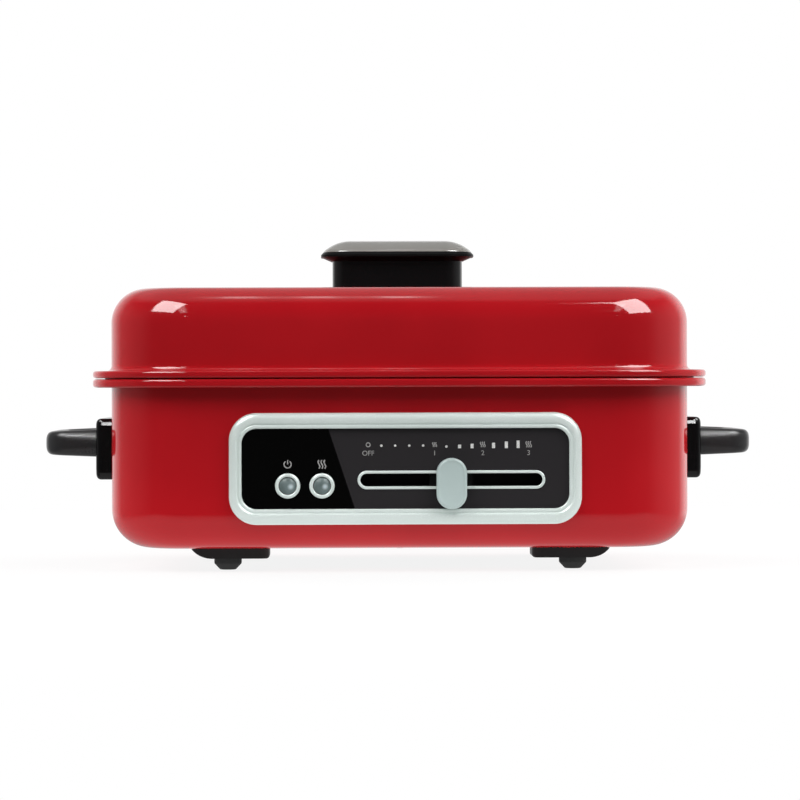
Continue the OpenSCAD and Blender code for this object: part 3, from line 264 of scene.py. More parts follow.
def addFloor(s):
    mat = bpy.data.materials.new("floor_paper")
    kit = emptyTree(mat)
    ray = kit.add("LightPath", out="Is Camera Ray")
    x = kit.add("SeparateXYZ", {}, {0: kit.add("TexCoord", out="Object")}, out="X")
    halfWidth, halfDepth = s["halfPlan"]
    aside = kit.maths("ABSOLUTE", x) - halfWidth
    ahead = kit.maths("ABSOLUTE", x.other("Y")) - halfDepth
    gap = kit.maths("MAXIMUM", aside, ahead)
    lit = smooth(kit, gap, *s["bounceStart"]) * (1 - smooth(kit, gap, *s["bounceEnd"]))
    paper = kit.add("BsdfDiffuse", {}, {"Color": srgb(*s["paper"])})
    glowShare = between(s["paperGlow"], smooth(kit, gap, *s["glowReach"]))
    shown = mixShaders(kit, glowShare, paper, glowing(kit, (1, 1, 1, 1)))
    light = s["mirroredBounce"]
    inGloss = mixShaders(kit, lit, kit.add("BsdfTransparent"), glowing(kit, (light, light, light, 1)))
    sent = mixShaders(kit, ray.other("Is Glossy Ray"), glowing(kit, between(s["bounce"], lit)), inGloss)
    kit.add("OutputMaterial", {}, {"Surface": mixShaders(kit, ray, sent, shown)})
    bm = bmesh.new()
    squares = s["floorSquares"]
    bmesh.ops.create_grid(bm, x_segments=squares, y_segments=squares, size=s["floorSide"] / 2)
    mesh = bpy.data.meshes.new("floor")
    bm.to_mesh(mesh)
    bm.free()
    floor = bpy.data.objects.new("floor", mesh)
    floor.location.z = -s["floorDrop"]
    floor.data.materials.append(mat)
    bpy.context.scene.collection.objects.link(floor)


def addSoftBox(name, s, aim, diffuse=True, glossy=True):
    data = bpy.data.lights.new(name, "AREA")
    data.shape = "RECTANGLE"
    data.size, data.size_y = s["size"]
    data.energy = s["radiance"] * math.pi * data.size * data.size_y
    data.spread = math.radians(s.get("spread", 180))
    lamp = bpy.data.objects.new(name, data)
    if "place" in s:                 # hangs level, and shines down
        lamp.location = s["place"]
    else:
        turn, rise = math.radians(s["azimuth"]), math.radians(s["elevation"])
        out = Vector((math.sin(turn) * math.cos(rise), -math.cos(turn) * math.cos(rise), math.sin(rise)))
        lamp.location = Vector(s.get("aim", aim)) + out * s["distance"]
        lamp.rotation_euler = out.to_track_quat("Z", "Y").to_euler()
    lamp.visible_diffuse = diffuse
    lamp.visible_glossy = glossy
    bpy.context.scene.collection.objects.link(lamp)


addWorld(studio)
addFloor(studio)
for boxName, boxLook in highlights.items():
    addSoftBox(boxName, boxLook, studio["aim"], diffuse=False)
for boxName, boxLook in keys.items():
    addSoftBox(boxName, boxLook, studio["aim"], glossy=False)
print("studio lit by", len(highlights) + len(keys), "lights")


# Finishes; a noise is given by its scale and its detail, depths are in metres

def startFinish(name, fixed):
    mat = bpy.data.materials.new(name)
    kit = emptyTree(mat)
    shader = kit.add("BsdfPrincipled", {}, fixed)
    kit.add("OutputMaterial", {}, {"Surface": shader})
    return mat, kit, shader.socket.node, kit.add("TexCoord", out="Object")


def feed(shader, **wires):
    names = {"colour": "Base Color", "roughness": "Roughness", "metallic": "Metallic", "normal": "Normal"}
    for name, wire in wires.items():
        wire.tree.links.new(wire.socket, shader.inputs[names[name]])


def bump(kit, height, distance, strength=1.0):
    return kit.add("Bump", {}, {"Strength": strength, "Distance": distance, "Height": height}, out="Normal")


enamel = {
    "red": (170, 19, 27), "deepRed": (164, 17, 25), "ior": 1.55, "rough": (0.05, 0.09),
    "cloud": (14, 3), "cloudEdge": (0.35, 0.65),
    "peel": (420, 1), "peelDepth": 0.0000004, "waver": (38, 1), "waverDepth": 0.0000008,
}


def enamelFinish(s):
    mat, kit, shader, place = startFinish("enamel_red", {"IOR": s["ior"]})
    cloud = smooth(kit, noise(kit, place, *s["cloud"]), *s["cloudEdge"])
    peel = noise(kit, place, *s["peel"])
    waver = noise(kit, place, *s["waver"])
    feed(shader, colour=mixColour(kit, cloud, srgb(*s["red"]), srgb(*s["deepRed"])),
         roughness=between(s["rough"], peel),
         normal=bump(kit, peel * s["peelDepth"] + waver * s["waverDepth"], 1.0))
    return mat


# one recipe for moulded and cast surfaces: two close colours, a fine grain, a roughness that drifts
mouldedBase = {
    "ior": 1.48, "coat": 0.0, "coatRough": 0.05, "coatIor": 1.8,
    "drift": (24, 3), "driftEdge": (0.3, 0.7), "grainDetail": 2,
    "driftTint": 0.6, "driftRough": 0.5,     # share of the drift, and the rest is the grain's
}
moulded = {
    "bracket_plastic": {"colours": ((20, 20, 21), (27, 27, 28)), "rough": (0.38, 0.5),
                        "grain": 1600, "depth": 0.00003},
    "foot_rubber": {"colours": ((34, 34, 35), (44, 44, 44)), "rough": (0.72, 0.85),
                    "grain": 900, "depth": 0.00006},
    "handle_gloss": {"colours": ((8, 8, 9), (12, 12, 13)), "rough": (0.1, 0.16),
                     "grain": 500, "depth": 0.000006},
    "handle_matt": {"colours": ((34, 34, 35), (40, 40, 41)), "rough": (0.26, 0.3),
                    "grain": 1500, "depth": 0.000003},
    "cap_black": {"colours": ((8, 8, 9), (12, 12, 12)), "rough": (0.34, 0.42),
                  "grain": 1500, "depth": 0.00001, "ior": 1.16},
    "knob_plastic": {"colours": ((166, 182, 180), (174, 189, 187)), "rough": (0.28, 0.36),
                     "grain": 2200, "depth": 0.00001},
    "phenolic": {"colours": ((24, 20, 18), (38, 31, 27)), "rough": (0.3, 0.45),
                 "grain": 700, "depth": 0.00002},
    "nylon": {"colours": ((214, 209, 196), (224, 220, 208)), "rough": (0.4, 0.5),
              "grain": 800, "depth": 0.00001},
    # painted shade: near black for the slider carriage seen through the slot
    "painted_shade_nylon": {"colours": ((5, 5, 6), (9, 9, 10)), "rough": (0.4, 0.5),
                   "grain": 800, "depth": 0.00001},
    "steatite": {"colours": ((226, 222, 210), (236, 233, 224)), "rough": (0.45, 0.6),
                 "grain": 1100, "depth": 0.00003},
    "neon_glass": {"colours": ((205, 190, 176), (222, 206, 190)), "rough": (0.08, 0.14),
                   "grain": 300, "depth": 0.000004},
    # painted shade: near black for the chassis seen through the slot
    "painted_shade_sheet": {"colours": ((4, 4, 5), (8, 8, 9)), "rough": (0.5, 0.62),
                   "grain": 900, "depth": 0.00002, "ior": 1.3},
    "inlay_grey": {"colours": ((114, 112, 107), (122, 120, 115)), "rough": (0.3, 0.4),
                   "grain": 1900, "depth": 0.000004, "coat": 0.8},
    "coated_casting": {"colours": ((30, 29, 29), (40, 38, 37)), "rough": (0.36, 0.5),
                       "grain": 1200, "depth": 0.00004},
}


def mouldedFinish(name, look):
    s = {**mouldedBase, **look}
    fixed = {"IOR": s["ior"], "Coat Weight": s["coat"], "Coat Roughness": s["coatRough"],
             "Coat IOR": s["coatIor"]}
    mat, kit, shader, place = startFinish(name, fixed)
    drift = smooth(kit, noise(kit, place, *s["drift"]), *s["driftEdge"])
    grain = noise(kit, place, s["grain"], s["grainDetail"])
    tones = [srgb(*c) for c in s["colours"]]
    feed(shader, colour=mixColour(kit, shared(s["driftTint"], drift, grain), *tones),
         roughness=between(s["rough"], shared(s["driftRough"], drift, grain)),
         normal=bump(kit, grain, s["depth"]))
    return mat


# sheet, wire and screws: brushed streaks along one axis and a drifting tint
metalBase = {
    "drift": (22, 3), "driftEdge": (0.3, 0.7), "driftTint": 0.5, "streakDetail": 3, "depth": 0.00001,
}
metals = {
    "zinc_sheet": {"tint": ((150, 154, 156), (182, 186, 188)), "rough": (0.36, 0.52),
                   "streak": (30, 30, 30)},
    "screw_steel": {"tint": ((150, 150, 148), (190, 190, 188)), "rough": (0.22, 0.36),
                    "streak": (900, 900, 120)},
    "bright_steel": {"tint": ((176, 178, 180), (204, 206, 208)), "rough": (0.2, 0.34),
                     "streak": (60, 1400, 1400)},
    "reflector_sheet": {"tint": ((186, 188, 188), (208, 210, 210)), "rough": (0.24, 0.36),
                        "streak": (40, 700, 700),
                        # painted shade: the front that faces the slot is coloured black; y where that black
                        # ends
                        "paintedShadeEdge": (-0.0978, -0.0976), "paintedShadeColour": (7, 7, 8), "paintedShadeRough": 0.3},
    "heater_sheath": {"tint": ((70, 66, 62), (104, 92, 80)), "rough": (0.34, 0.5),
                      "streak": (50, 50, 400)},
}


def metalFinish(name, look):
    s = {**metalBase, **look}
    mat, kit, shader, place = startFinish(name, {"Metallic": 1.0})
    drift = smooth(kit, noise(kit, place, *s["drift"]), *s["driftEdge"])
    streak = noise(kit, stretched(kit, place, *s["streak"]), 1, s["streakDetail"])
    tint = mixColour(kit, shared(s["driftTint"], drift, streak), *[srgb(*c) for c in s["tint"]])
    rough = between(s["rough"], streak)
    # painted shade: black on the side that faces the slot, so that the slot looks dark inside
    if "paintedShadeColour" in s:
        y = kit.add("SeparateXYZ", {}, {0: place}, out="Y")
        paintedShade = 1 - smooth(kit, y, *s["paintedShadeEdge"])
        tint = mixColour(kit, paintedShade, tint, srgb(*s["paintedShadeColour"]))
        rough = rough + paintedShade * s["paintedShadeRough"]
        feed(shader, metallic=1 - paintedShade)
    feed(shader, colour=tint, roughness=rough, normal=bump(kit, streak, s["depth"]))
    return mat


satinSilver = {
    "pale": (214, 224, 221), "deep": (208, 219, 215), "metal": 0.12, "ior": 1.5, "rough": (0.22, 0.3),
    "drift": (18, 2), "driftEdge": (0.3, 0.7), "grain": (2600, 1), "depth": 0.0000008,
}


def satinSilverFinish(s):
    mat, kit, shader, place = startFinish("satin_silver", {"Metallic": s["metal"], "IOR": s["ior"]})
    drift = smooth(kit, noise(kit, place, *s["drift"]), *s["driftEdge"])
    grain = noise(kit, place, *s["grain"])
    feed(shader, colour=mixColour(kit, drift, srgb(*s["pale"]), srgb(*s["deep"])),
         roughness=between(s["rough"], grain), normal=bump(kit, grain, s["depth"]))
    return mat


# painted reflection: past a slanting border the black panel turns grey and rougher, in place of a
# reflection in its gloss
panelFace = {
    "black": (2, 2, 2), "grey": (36, 34, 36), "ior": 1.36,
    "borderTop": (-0.0411, 0.0807), "borderFoot": (-0.0266, 0.0370),   # x and z of the slanting border
    "soft": 0.0004, "rough": (0.12, 0.18), "paintedReflectionRough": 0.2, "grain": (1800, 1), "depth": 0.000004,
}


def panelFinish(s):
    mat, kit, shader, place = startFinish("panel_painted_reflection", {"IOR": s["ior"]})
    x = kit.add("SeparateXYZ", {}, {0: place}, out="X")
    z = x.other("Z")
    (topX, topZ), (footX, footZ) = s["borderTop"], s["borderFoot"]
    lean = (topX - footX) / (topZ - footZ)
    past = x - (z - footZ) * lean - footX
    # painted reflection: grey and rougher past the slanting border
    grey = smooth(kit, past, -s["soft"], s["soft"])
    grain = noise(kit, place, *s["grain"])
    feed(shader, colour=mixColour(kit, grey, srgb(*s["black"]), srgb(*s["grey"])),
         roughness=between(s["rough"], grain) + grey * s["paintedReflectionRough"],
         normal=bump(kit, grain, s["depth"]))
    return mat


lens = {
    "deep": (99, 114, 113), "pale": (116, 131, 131), "ior": 1.35, "clear": 0.25, "rough": (0.26, 0.34),
    "cloud": (160, 2), "cloudEdge": (0.3, 0.7),
    "ribs": 90.0, "ribWander": 0.4, "ribDepth": 0.00002, "ribStrength": 0.3,
    # painted glow: a pale spot painted into each lens's colour over the bulb behind it; places and reach in
    # metres
    "bulb": (196, 210, 214), "bulbX": (-0.0622, -0.0430), "bulbZ": 0.0483, "bulbReach": (0.0003, 0.0022),
}


def lensFinish(s):
    fixed = {"IOR": s["ior"], "Transmission Weight": s["clear"]}
    mat, kit, shader, place = startFinish("lens_smoke", fixed)
    cloud = noise(kit, place, *s["cloud"])
    rings = {"Vector": place, "Scale": s["ribs"], "Distortion": s["ribWander"]}
    ribs = kit.add("TexWave", {"wave_type": "RINGS"}, rings, out="Fac")
    # painted glow: distance from each bulb's place, where the lens colour is painted pale
    x = kit.add("SeparateXYZ", {}, {0: place}, out="X")
    left, right = [kit.maths("ABSOLUTE", x - bulb) for bulb in s["bulbX"]]
    aside = kit.maths("MINIMUM", left, right)
    above = x.other("Z") - s["bulbZ"]
    bulb = 1 - smooth(kit, kit.maths("SQRT", aside * aside + above * above), *s["bulbReach"])
    tint = mixColour(kit, smooth(kit, cloud, *s["cloudEdge"]), srgb(*s["deep"]), srgb(*s["pale"]))
    feed(shader, colour=mixColour(kit, bulb, tint, srgb(*s["bulb"])),
         roughness=between(s["rough"], cloud), normal=bump(kit, ribs, s["ribDepth"], s["ribStrength"]))
    return mat


sleeve = {
    "pale": (226, 222, 212), "deep": (198, 192, 180), "ior": 1.45, "rough": (0.5, 0.8),
    "threads": 320.0, "depth": 0.0001,
}


def sleeveFinish(s):
    mat, kit, shader, place = startFinish("lead_sleeve", {"IOR": s["ior"]})
    over, under = [kit.add("TexWave", {"bands_direction": "DIAGONAL"},
                           {"Vector": way, "Scale": s["threads"]}, out="Fac")
                   for way in (place, stretched(kit, place, 1, -1, 1))]
    weave = over * under
    feed(shader, colour=mixColour(kit, weave, srgb(*s["deep"]), srgb(*s["pale"])),
         roughness=between(s["rough"], weave), normal=bump(kit, weave, s["depth"]))
    return mat


inkBase = {"ior": 1.45, "rough": (0.4, 0.6), "spots": (1400, 2), "spotEdge": (0.4, 0.7), "depth": 0.00001}
inks = {
    "ink": {"white": (206, 206, 204), "worn": (184, 184, 182)},
    "dim_ink": {"white": (150, 149, 148), "worn": (126, 125, 124)},
}


def inkFinish(name, look):
    s = {**inkBase, **look}
    mat, kit, shader, place = startFinish(name, {"IOR": s["ior"]})
    spots = noise(kit, place, *s["spots"])
    worn = smooth(kit, spots, *s["spotEdge"])
    feed(shader, colour=mixColour(kit, worn, srgb(*s["white"]), srgb(*s["worn"])),
         roughness=between(s["rough"], spots), normal=bump(kit, spots, s["depth"]))
    return mat


finishes = {name: mouldedFinish(name, look) for name, look in moulded.items()}
finishes.update({name: metalFinish(name, look) for name, look in metals.items()})
finishes["enamel"] = enamelFinish(enamel)
finishes["plated_plastic"] = satinSilverFinish(satinSilver)
finishes["panel_plastic"] = panelFinish(panelFace)
finishes["lens_plastic"] = lensFinish(lens)
finishes["lead_cover"] = sleeveFinish(sleeve)
finishes.update({name: inkFinish(name, look) for name, look in inks.items()})
# these don't look as their slot does; the carriage and the chassis behind the slot are coloured near black
# as painted shade
ownFinish = {
    "slider_carriage": "painted_shade_nylon", "control_chassis": "painted_shade_sheet", "lid_handle_cap": "cap_black",
}
for nodeName, node in nodes.items():
    slotName = node.material_slots[0].material.name.split(".")[0]
    node.material_slots[0].material = finishes[ownFinish.get(nodeName, slotName)]
print("finishes:", len(finishes))


# Pieces; their measures are in mm

def addPiece(name, bm, body, slot, replaced=(), finish=None, sharp=35):
    mesh = bpy.data.meshes.new(name)
    bmesh.ops.recalc_face_normals(bm, faces=bm.faces)
    bm.to_mesh(mesh)
    bm.free()
    mesh.polygons.foreach_set("use_smooth", [True] * len(mesh.polygons))
    mesh.set_sharp_from_angle(angle=math.radians(sharp))
    piece = bpy.data.objects.new(name, mesh)
    bpy.context.scene.collection.objects.link(piece)
    piece.data.materials.append(finishes[finish or slot])
    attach(piece, body)
    if replaced:
        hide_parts(*replaced)


def outline(width, height, radius, steps, stops=()):
    # points of a rounded rectangle with their outward directions; stops are more places on its long sides
    ease = 1.0       # from a corner to the next point on a side
    a, b = width / 2 - radius, height / 2 - radius
    long = sorted([-a + ease, a - ease, *stops])
    sides = [[(x, height / 2) for x in reversed(long)], [(-width / 2, y) for y in (b - ease, ease - b)],
             [(x, -height / 2) for x in long], [(width / 2, y) for y in (ease - b, b - ease)]]
    found = []
    for corner in range(4):
        middle = Vector((a if corner in (0, 3) else -a, b if corner in (0, 1) else -b))
        for k in range(steps + 1):
            turn = math.pi / 2 * (corner + k / steps)
            away = Vector((math.cos(turn), math.sin(turn)))
            found.append((middle + away * radius, away))
        if min(a, b) > ease:
            found += [(Vector(place), away) for place in sides[corner]]
    # where two corners meet, one point stands for both
    return [spot for k, spot in enumerate(found) if (spot[0] - found[k - 1][0]).length > 1e-5]


def curve(x, z, radius, first, last, steps):
    turns = [math.radians(first + (last - first) * k / steps) for k in range(steps + 1)]
    return [(x + radius * math.cos(a), z + radius * math.sin(a)) for a in turns]


def skin(bm, rings, endless=False):
    # faces between closed rings of as many points; endless joins the last ring to the first,
    # and otherwise a face closes each end
    laid = [[bm.verts.new(point) for point in ring] for ring in rings]
    pairs = list(zip(laid, laid[1:])) + ([(laid[-1], laid[0])] if endless else [])
    for first, second in pairs:
        for k in range(len(first)):
            after = (k + 1) % len(first)
            bm.faces.new((first[k], first[after], second[after], second[k]))
    if not endless:
        bm.faces.new(laid[-1])
        bm.faces.new(reversed(laid[0]))


def loft(rings, endless=False):
    bm = bmesh.new()
    skin(bm, rings, endless)
    return bm


def turnsOf(steps, offset=0.0):
    return [2 * math.pi * (k + offset) / steps for k in range(steps)]


def ringRound(spot, out, turns, reaches):
    # points round an axis, each at its own reach
    first = Vector((1, 0, 0))
    second = out.cross(first)
    return [(spot + (first * math.cos(a) + second * math.sin(a)) * r) * mm for a, r in zip(turns, reaches)]


def turned(place, out, profile, steps):
    # rings from pairs of a radius and a height along the axis
    axis = Vector(out)
    turns = turnsOf(steps)
    return [ringRound(Vector(place) + axis * z, axis, turns, [radius] * steps) for radius, z in profile]


def frontRing(path, middle, outset, y):
    # an outline moved outwards, upright before the front
    flat = [(Vector(middle) + place + away * outset) * mm for place, away in path]
    return [(x, y * mm, z) for x, z in flat]


toFront = (0, -1, 0)
panelFront = -113.2
wall = {"front": -111, "edgeZ": 34.6, "edgeRadius": 22}   # front of the body and its round lower edge


def wallBack(z):
    # how far the body's wall lies behind its front at a height
    drop = max(0.0, wall["edgeZ"] - z)
    return wall["edgeRadius"] - math.sqrt(max(0.0, wall["edgeRadius"] ** 2 - drop ** 2))


shells = {
    "size": (330, 222), "corner": 45, "steps": 36, "stops": (-24.2, 58.6, 79.8, 101.4), "sheet": 1.0,
    "strip": 1.0, "edgeSteps": 18,      # flat strip beside a bend, steps round a large edge
    "rollMiddle": 8.4, "rollHalf": 2.2, "rollRound": 1.6, "rollSteps": (7, 8, 8),
    "underside": 12.6, "edge": 22, "seat": 106.4, "rim": 108.7, "rimHeight": 4.8,
    "seatReach": 4, "seatLip": 5, "seatBevel": 0.4, "plateOpening": (230, 100, 12),
    # x from and to, z from and to
    "slotWindow": (-24.2, 79.8, 47.3, 56.5), "inletWindow": (58.6, 101.4, 51, 73), "windowDepth": 2,
    "lidFoot": 109.2, "lidTop": 160.5, "lidEdge": 20, "lidRim": 4.2,
    "lidFillet": 3, "filletSteps": 9, "filletStrip": 0.6,
}


def sweep(profile, s):
    # carries points (distance out of the wall, height) round the plan of the walls
    wide, deep = s["size"]
    rings = []
    for out, z in profile:
        path = outline(wide + 2 * out, deep + 2 * out, s["corner"] + out, s["steps"], s["stops"])
        rings.append([(place.x * mm, place.y * mm, z * mm) for place, away in path])
    return rings


def cutWindow(bm, window, y, depth):
    # opens both skins of a wall, and walls the opening in
    left, right, low, high = window
    limits = [(left, right), (y - depth, y + depth), (low, high)]

    def within(face):
        middle = face.calc_center_median()
        return all(first * mm < c < last * mm for c, (first, last) in zip(middle, limits))

    bmesh.ops.delete(bm, geom=[f for f in bm.faces if within(f)], context="FACES")
    bmesh.ops.bridge_loops(bm, edges=[e for e in bm.edges if e.is_boundary])


def roll(s, foot, top):
    # the rolled edge from its inner side, round the foot and the outside, up to the top
    r, near, far = s["rollRound"], s["rollMiddle"] - s["rollHalf"], s["rollMiddle"] + s["rollHalf"]
    inner, outer, upper = s["rollSteps"]
    return (curve(near + r, foot + r, r, 180, 270, inner) + curve(far - r, foot + r, r, 270, 360, outer)
            + curve(far - r, top - r, r, 0, 90, upper))


def addBodyShell(s):
    under, sheet, edge, strip = [s[k] for k in ("underside", "sheet", "edge", "strip")]
    seat, rim, reach, lip, bevel = [s[k] for k in ("seat", "rim", "seatReach", "seatLip", "seatBevel")]
    turnSteps, bend, ledge = s["edgeSteps"], under + edge, reach + sheet
    heights = sorted([bend + strip, *s["slotWindow"][2:], *s["inletWindow"][2:], seat - sheet - strip])
    outer = [(-edge - strip, under)] + curve(-edge, bend, edge, 270, 360, turnSteps)
    outer += [(0, z) for z in heights]
    outer += [(0, seat - sheet), (ledge, seat - sheet), (ledge, rim - sheet)]
    outer += [(s["rollMiddle"] - s["rollHalf"], rim - sheet)] + roll(s, rim - s["rimHeight"], rim)
    inner = [(reach + bevel, rim), (reach, rim - bevel), (reach, seat)]
    inner += [(-lip, seat), (-lip, seat - sheet), (-sheet, seat - sheet)]
    inner += [(-sheet, z) for z in reversed(heights)]
    inner += curve(-edge, bend, edge - sheet, 360, 270, turnSteps)
    opening = [place * mm for place, away in outline(*s["plateOpening"], s["steps"], s["stops"])]
    below, above = [[(x, y, z * mm) for x, y in opening] for z in (under, under + sheet)]
    bm = loft([below] + sweep(outer + inner, s) + [above], endless=True)
    cutWindow(bm, s["slotWindow"], -s["size"][1] / 2, s["windowDepth"])
    cutWindow(bm, s["inletWindow"], s["size"][1] / 2, s["windowDepth"])
    addPiece("body_shell_enamel", bm, "body", "enamel", ["body_shell"], sharp=40)


def addLidShell(s):
    foot, top, sheet, edge, strip = [s[k] for k in ("lidFoot", "lidTop", "sheet", "lidEdge", "strip")]
    fillet, turnSteps = s["lidFillet"], s["edgeSteps"]
    bend, flange = top - edge, foot + s["lidRim"]
    outer = [(-edge - strip, top)] + curve(-edge, bend, edge, 90, 0, turnSteps)
    outer += [(0, bend - strip), (0, flange + fillet + strip)]
    outer += curve(fillet, flange + fillet, fillet, 180, 270, s["filletSteps"])
    outer += [(fillet + s["filletStrip"], flange)] + list(reversed(roll(s, foot, flange)))
    outer += [(s["rollMiddle"] - s["rollHalf"], flange - sheet), (0, flange - sheet), (0, foot)]
    inner = [(-sheet, foot), (-sheet, bend - strip)] + curve(-edge, bend, edge - sheet, 0, 90, turnSteps)
    inner += [(-edge - strip, top - sheet)]
    bm = loft(sweep(outer + inner, s))
    addPiece("lid_shell_enamel", bm, "lid", "enamel", ["lid_shell"], sharp=40)


addBodyShell(shells)
addLidShell(shells)
print("enamelled shells built")

bezel = {
    "middle": (2.1, 58.25), "size": (197.7, 62.6), "radius": 15.5,
    "window": (183.5, 45.0), "windowRadius": 8.4, "steps": 14, "sunk": 0.4,
    # inset from the outer edge, height
    "band": [(0.0, 2.2), (0.15, 2.9), (0.5, 3.5), (1.0, 3.95), (1.7, 4.35), (2.5, 4.65), (3.2, 4.85)],
    # distance from the window, height
    "lip": [(3.4, 4.95), (3.0, 4.75), (2.7, 4.35), (2.4, 4.02), (2.2, 4.0), (2.0, 4.1), (1.7, 4.32),
            (1.3, 4.4), (0.7, 4.4), (0.3, 4.26), (0.06, 3.85), (0.0, 2.2)],
}


def addBezel(s):
    middle, front = s["middle"], wall["front"]
    outer = outline(*s["size"], s["radius"], s["steps"])
    window = outline(*s["window"], s["windowRadius"], s["steps"])
    edge = [Vector(middle) + place for place, away in outer]
    rings = [[(x * mm, (front + wallBack(z) + s["sunk"]) * mm, z * mm) for x, z in edge]]
    rings += [frontRing(outer, middle, -inset, front - height) for inset, height in s["band"]]
    rings += [frontRing(window, middle, outset, front - height) for outset, height in s["lip"]]
    bm = loft(rings, endless=True)
    addPiece("control_bezel_moulding", bm, "body", "plated_plastic", ["control_bezel"], sharp=60)


addBezel(bezel)

slotTrim = {
    "middle": (27.8, 51.9), "size": (102, 7.2), "steps": 18,
    # distance from the slot, height
    "round": [(0.0, -0.5), (0.0, 0.4), (0.2, 0.6), (0.5, 0.7), (1.05, 0.7), (1.4, 0.56), (1.6, 0.28),
              (1.6, -0.05)],
}


def addSlotTrim(s):
    path = outline(*s["size"], s["size"][1] / 2, s["steps"])
    rings = [frontRing(path, s["middle"], outset, panelFront - height) for outset, height in s["round"]]
    bm = loft(rings, endless=True)
    addPiece("slot_trim_round", bm, "body", "plated_plastic", ["slot_trim"], sharp=60)


addSlotTrim(slotTrim)

lampRings = {
    "places": {"power_lamp_ring": -63.9, "heating_lamp_ring": -44.7}, "height": 48.75, "steps": 56,
    # radius, height
    "round": [(5.0, -0.4), (5.02, 0.85), (5.2, 1.3), (5.55, 1.58), (6.0, 1.6), (6.5, 1.4), (6.9, 0.95),
              (7.1, 0.4), (7.1, -0.05)],
}


def addLampRings(s):
    for name, x in s["places"].items():
        bm = loft(turned((x, panelFront, s["height"]), toFront, s["round"], s["steps"]), endless=True)
        addPiece(name + "_turned", bm, "body", "plated_plastic", [name], sharp=60)


addLampRings(lampRings)

knob = {
    "middle": (27.8, 49.9), "size": (17, 28.6), "radius": 8.45, "back": 4.4, "steps": 22,
    # inset from the knob's edge, height over its back
    "rings": [(0.0, 0.0), (0.0, 3.9), (0.1, 4.5), (0.35, 5.0), (0.75, 5.35), (1.15, 5.5), (1.5, 5.46),
              (1.75, 5.3), (2.1, 5.2), (3.4, 5.16), (5.0, 5.12), (6.6, 5.1), (8.2, 5.1)],
    "rim": 1.6, "thumb": 0.3, "thumbLength": 8,     # inside its rim, the face rises towards the lower end
}


def addKnob(s):
    middle = Vector(s["middle"])
    foot = middle.y - s["size"][1] / 2
    rings = []
    for inset, height in s["rings"]:
        ring = []
        for place, away in outline(*s["size"], s["radius"], s["steps"]):
            x, z = middle + place - away * inset
            low = max(0.0, 1 - (z - foot) / s["thumbLength"])
            rise = s["thumb"] * low if inset > s["rim"] else 0.0
            ring.append((x * mm, (wall["front"] - s["back"] - height - rise) * mm, z * mm))
        rings.append(ring)
    addPiece("slider_knob_rimmed", loft(rings), "slider", "knob_plastic", ["slider_knob"], sharp=60)


addKnob(knob)
print("front trim built")

handle = {
    "wall": 165, "height": 68.2, "size": (90, 35.4), "thick": 10.7,
    "edge": 3, "edgeSteps": 8, "strips": (0.6, 0.5),      # rounded edge of the base, flat beside it
    # inset from the end and from the upper or lower edge, from the end face to the flat top
    "bevel": [(0.0, 9.0), (0.0, 4.4), (0.0, 4.1), (0.06, 3.8), (0.12, 3.5), (0.38, 2.2), (0.44, 1.9),
              (0.6, 1.45), (0.95, 0.85), (1.5, 0.35), (2.3, 0.06), (3.2, 0.0), (9.0, 0.0)],
    "grip": 78, "reach": 30, "bar": 11, "rise": 3.4, "rootHeight": 16, "tipHeight": 13.5, "bend": 7,
    "legSteps": 6, "bendSteps": 14, "barSteps": 8,
    "round": 40, "squareness": (2.15, 3.2),       # of the section, at the root and at the tip
}


def bevelled(long, tall, bevel):
    # closed path of a plate with a slanting bevel at each corner
    found = []
    for flipY, flipZ in ((1, 1), (-1, 1), (-1, -1), (1, -1)):
        corner = [(flipY * (long / 2 - inset), flipZ * (tall / 2 - drop)) for inset, drop in bevel]
        found += corner if flipY == flipZ else corner[::-1]
    return found


def addHandleBase(name, side, s):
    thick, edge = s["thick"], s["edge"]
    below, beyond = s["strips"]
    rounded = curve(0, 0, edge, 0, 90, s["edgeSteps"])
    profile = [(0, 0), (0, thick - edge - below)]
    profile += [(edge - across, thick - edge + out) for across, out in rounded]
    profile += [(edge + beyond, thick)]
    rings = []
    for inset, out in profile:
        path = bevelled(s["size"][0] - 2 * inset, s["size"][1] - 2 * inset, s["bevel"])
        rings.append([(side * (s["wall"] + out) * mm, y * mm, (s["height"] + z) * mm) for y, z in path])
    addPiece(name + "_moulded", loft(rings), "body", "handle_gloss", [name], sharp=50)


def gripPath(s):
    # along one leg, round the bar and back: how far out, how far along, and the way across
    bend, legSteps, bendSteps, barSteps = [s[k] for k in ("bend", "legSteps", "bendSteps", "barSteps")]
    leg, straight = s["grip"] / 2 - s["bar"] / 2, s["reach"] - s["bar"] / 2 - bend
    bar = leg - bend
    found = [(straight * k / legSteps, -leg, Vector((0, -1))) for k in range(legSteps)]
    for corner, middle in ((0, -bar), (1, bar)):
        for k in range(bendSteps + 1):
            turn = math.radians(-90 + 90 * corner + 90 * k / bendSteps)
            away = Vector((math.cos(turn), math.sin(turn)))
            found.append((straight + bend * away.x, middle + bend * away.y, away))
        if corner == 0:
            found += [(straight + bend, -bar + 2 * bar * k / barSteps, Vector((1, 0)))
                      for k in range(1, barSteps)]
    return found + [(straight * k / legSteps, leg, Vector((0, 1))) for k in range(legSteps - 1, -1, -1)]


def squared(value, squareness):
    return math.copysign(abs(value) ** (2 / squareness), value)


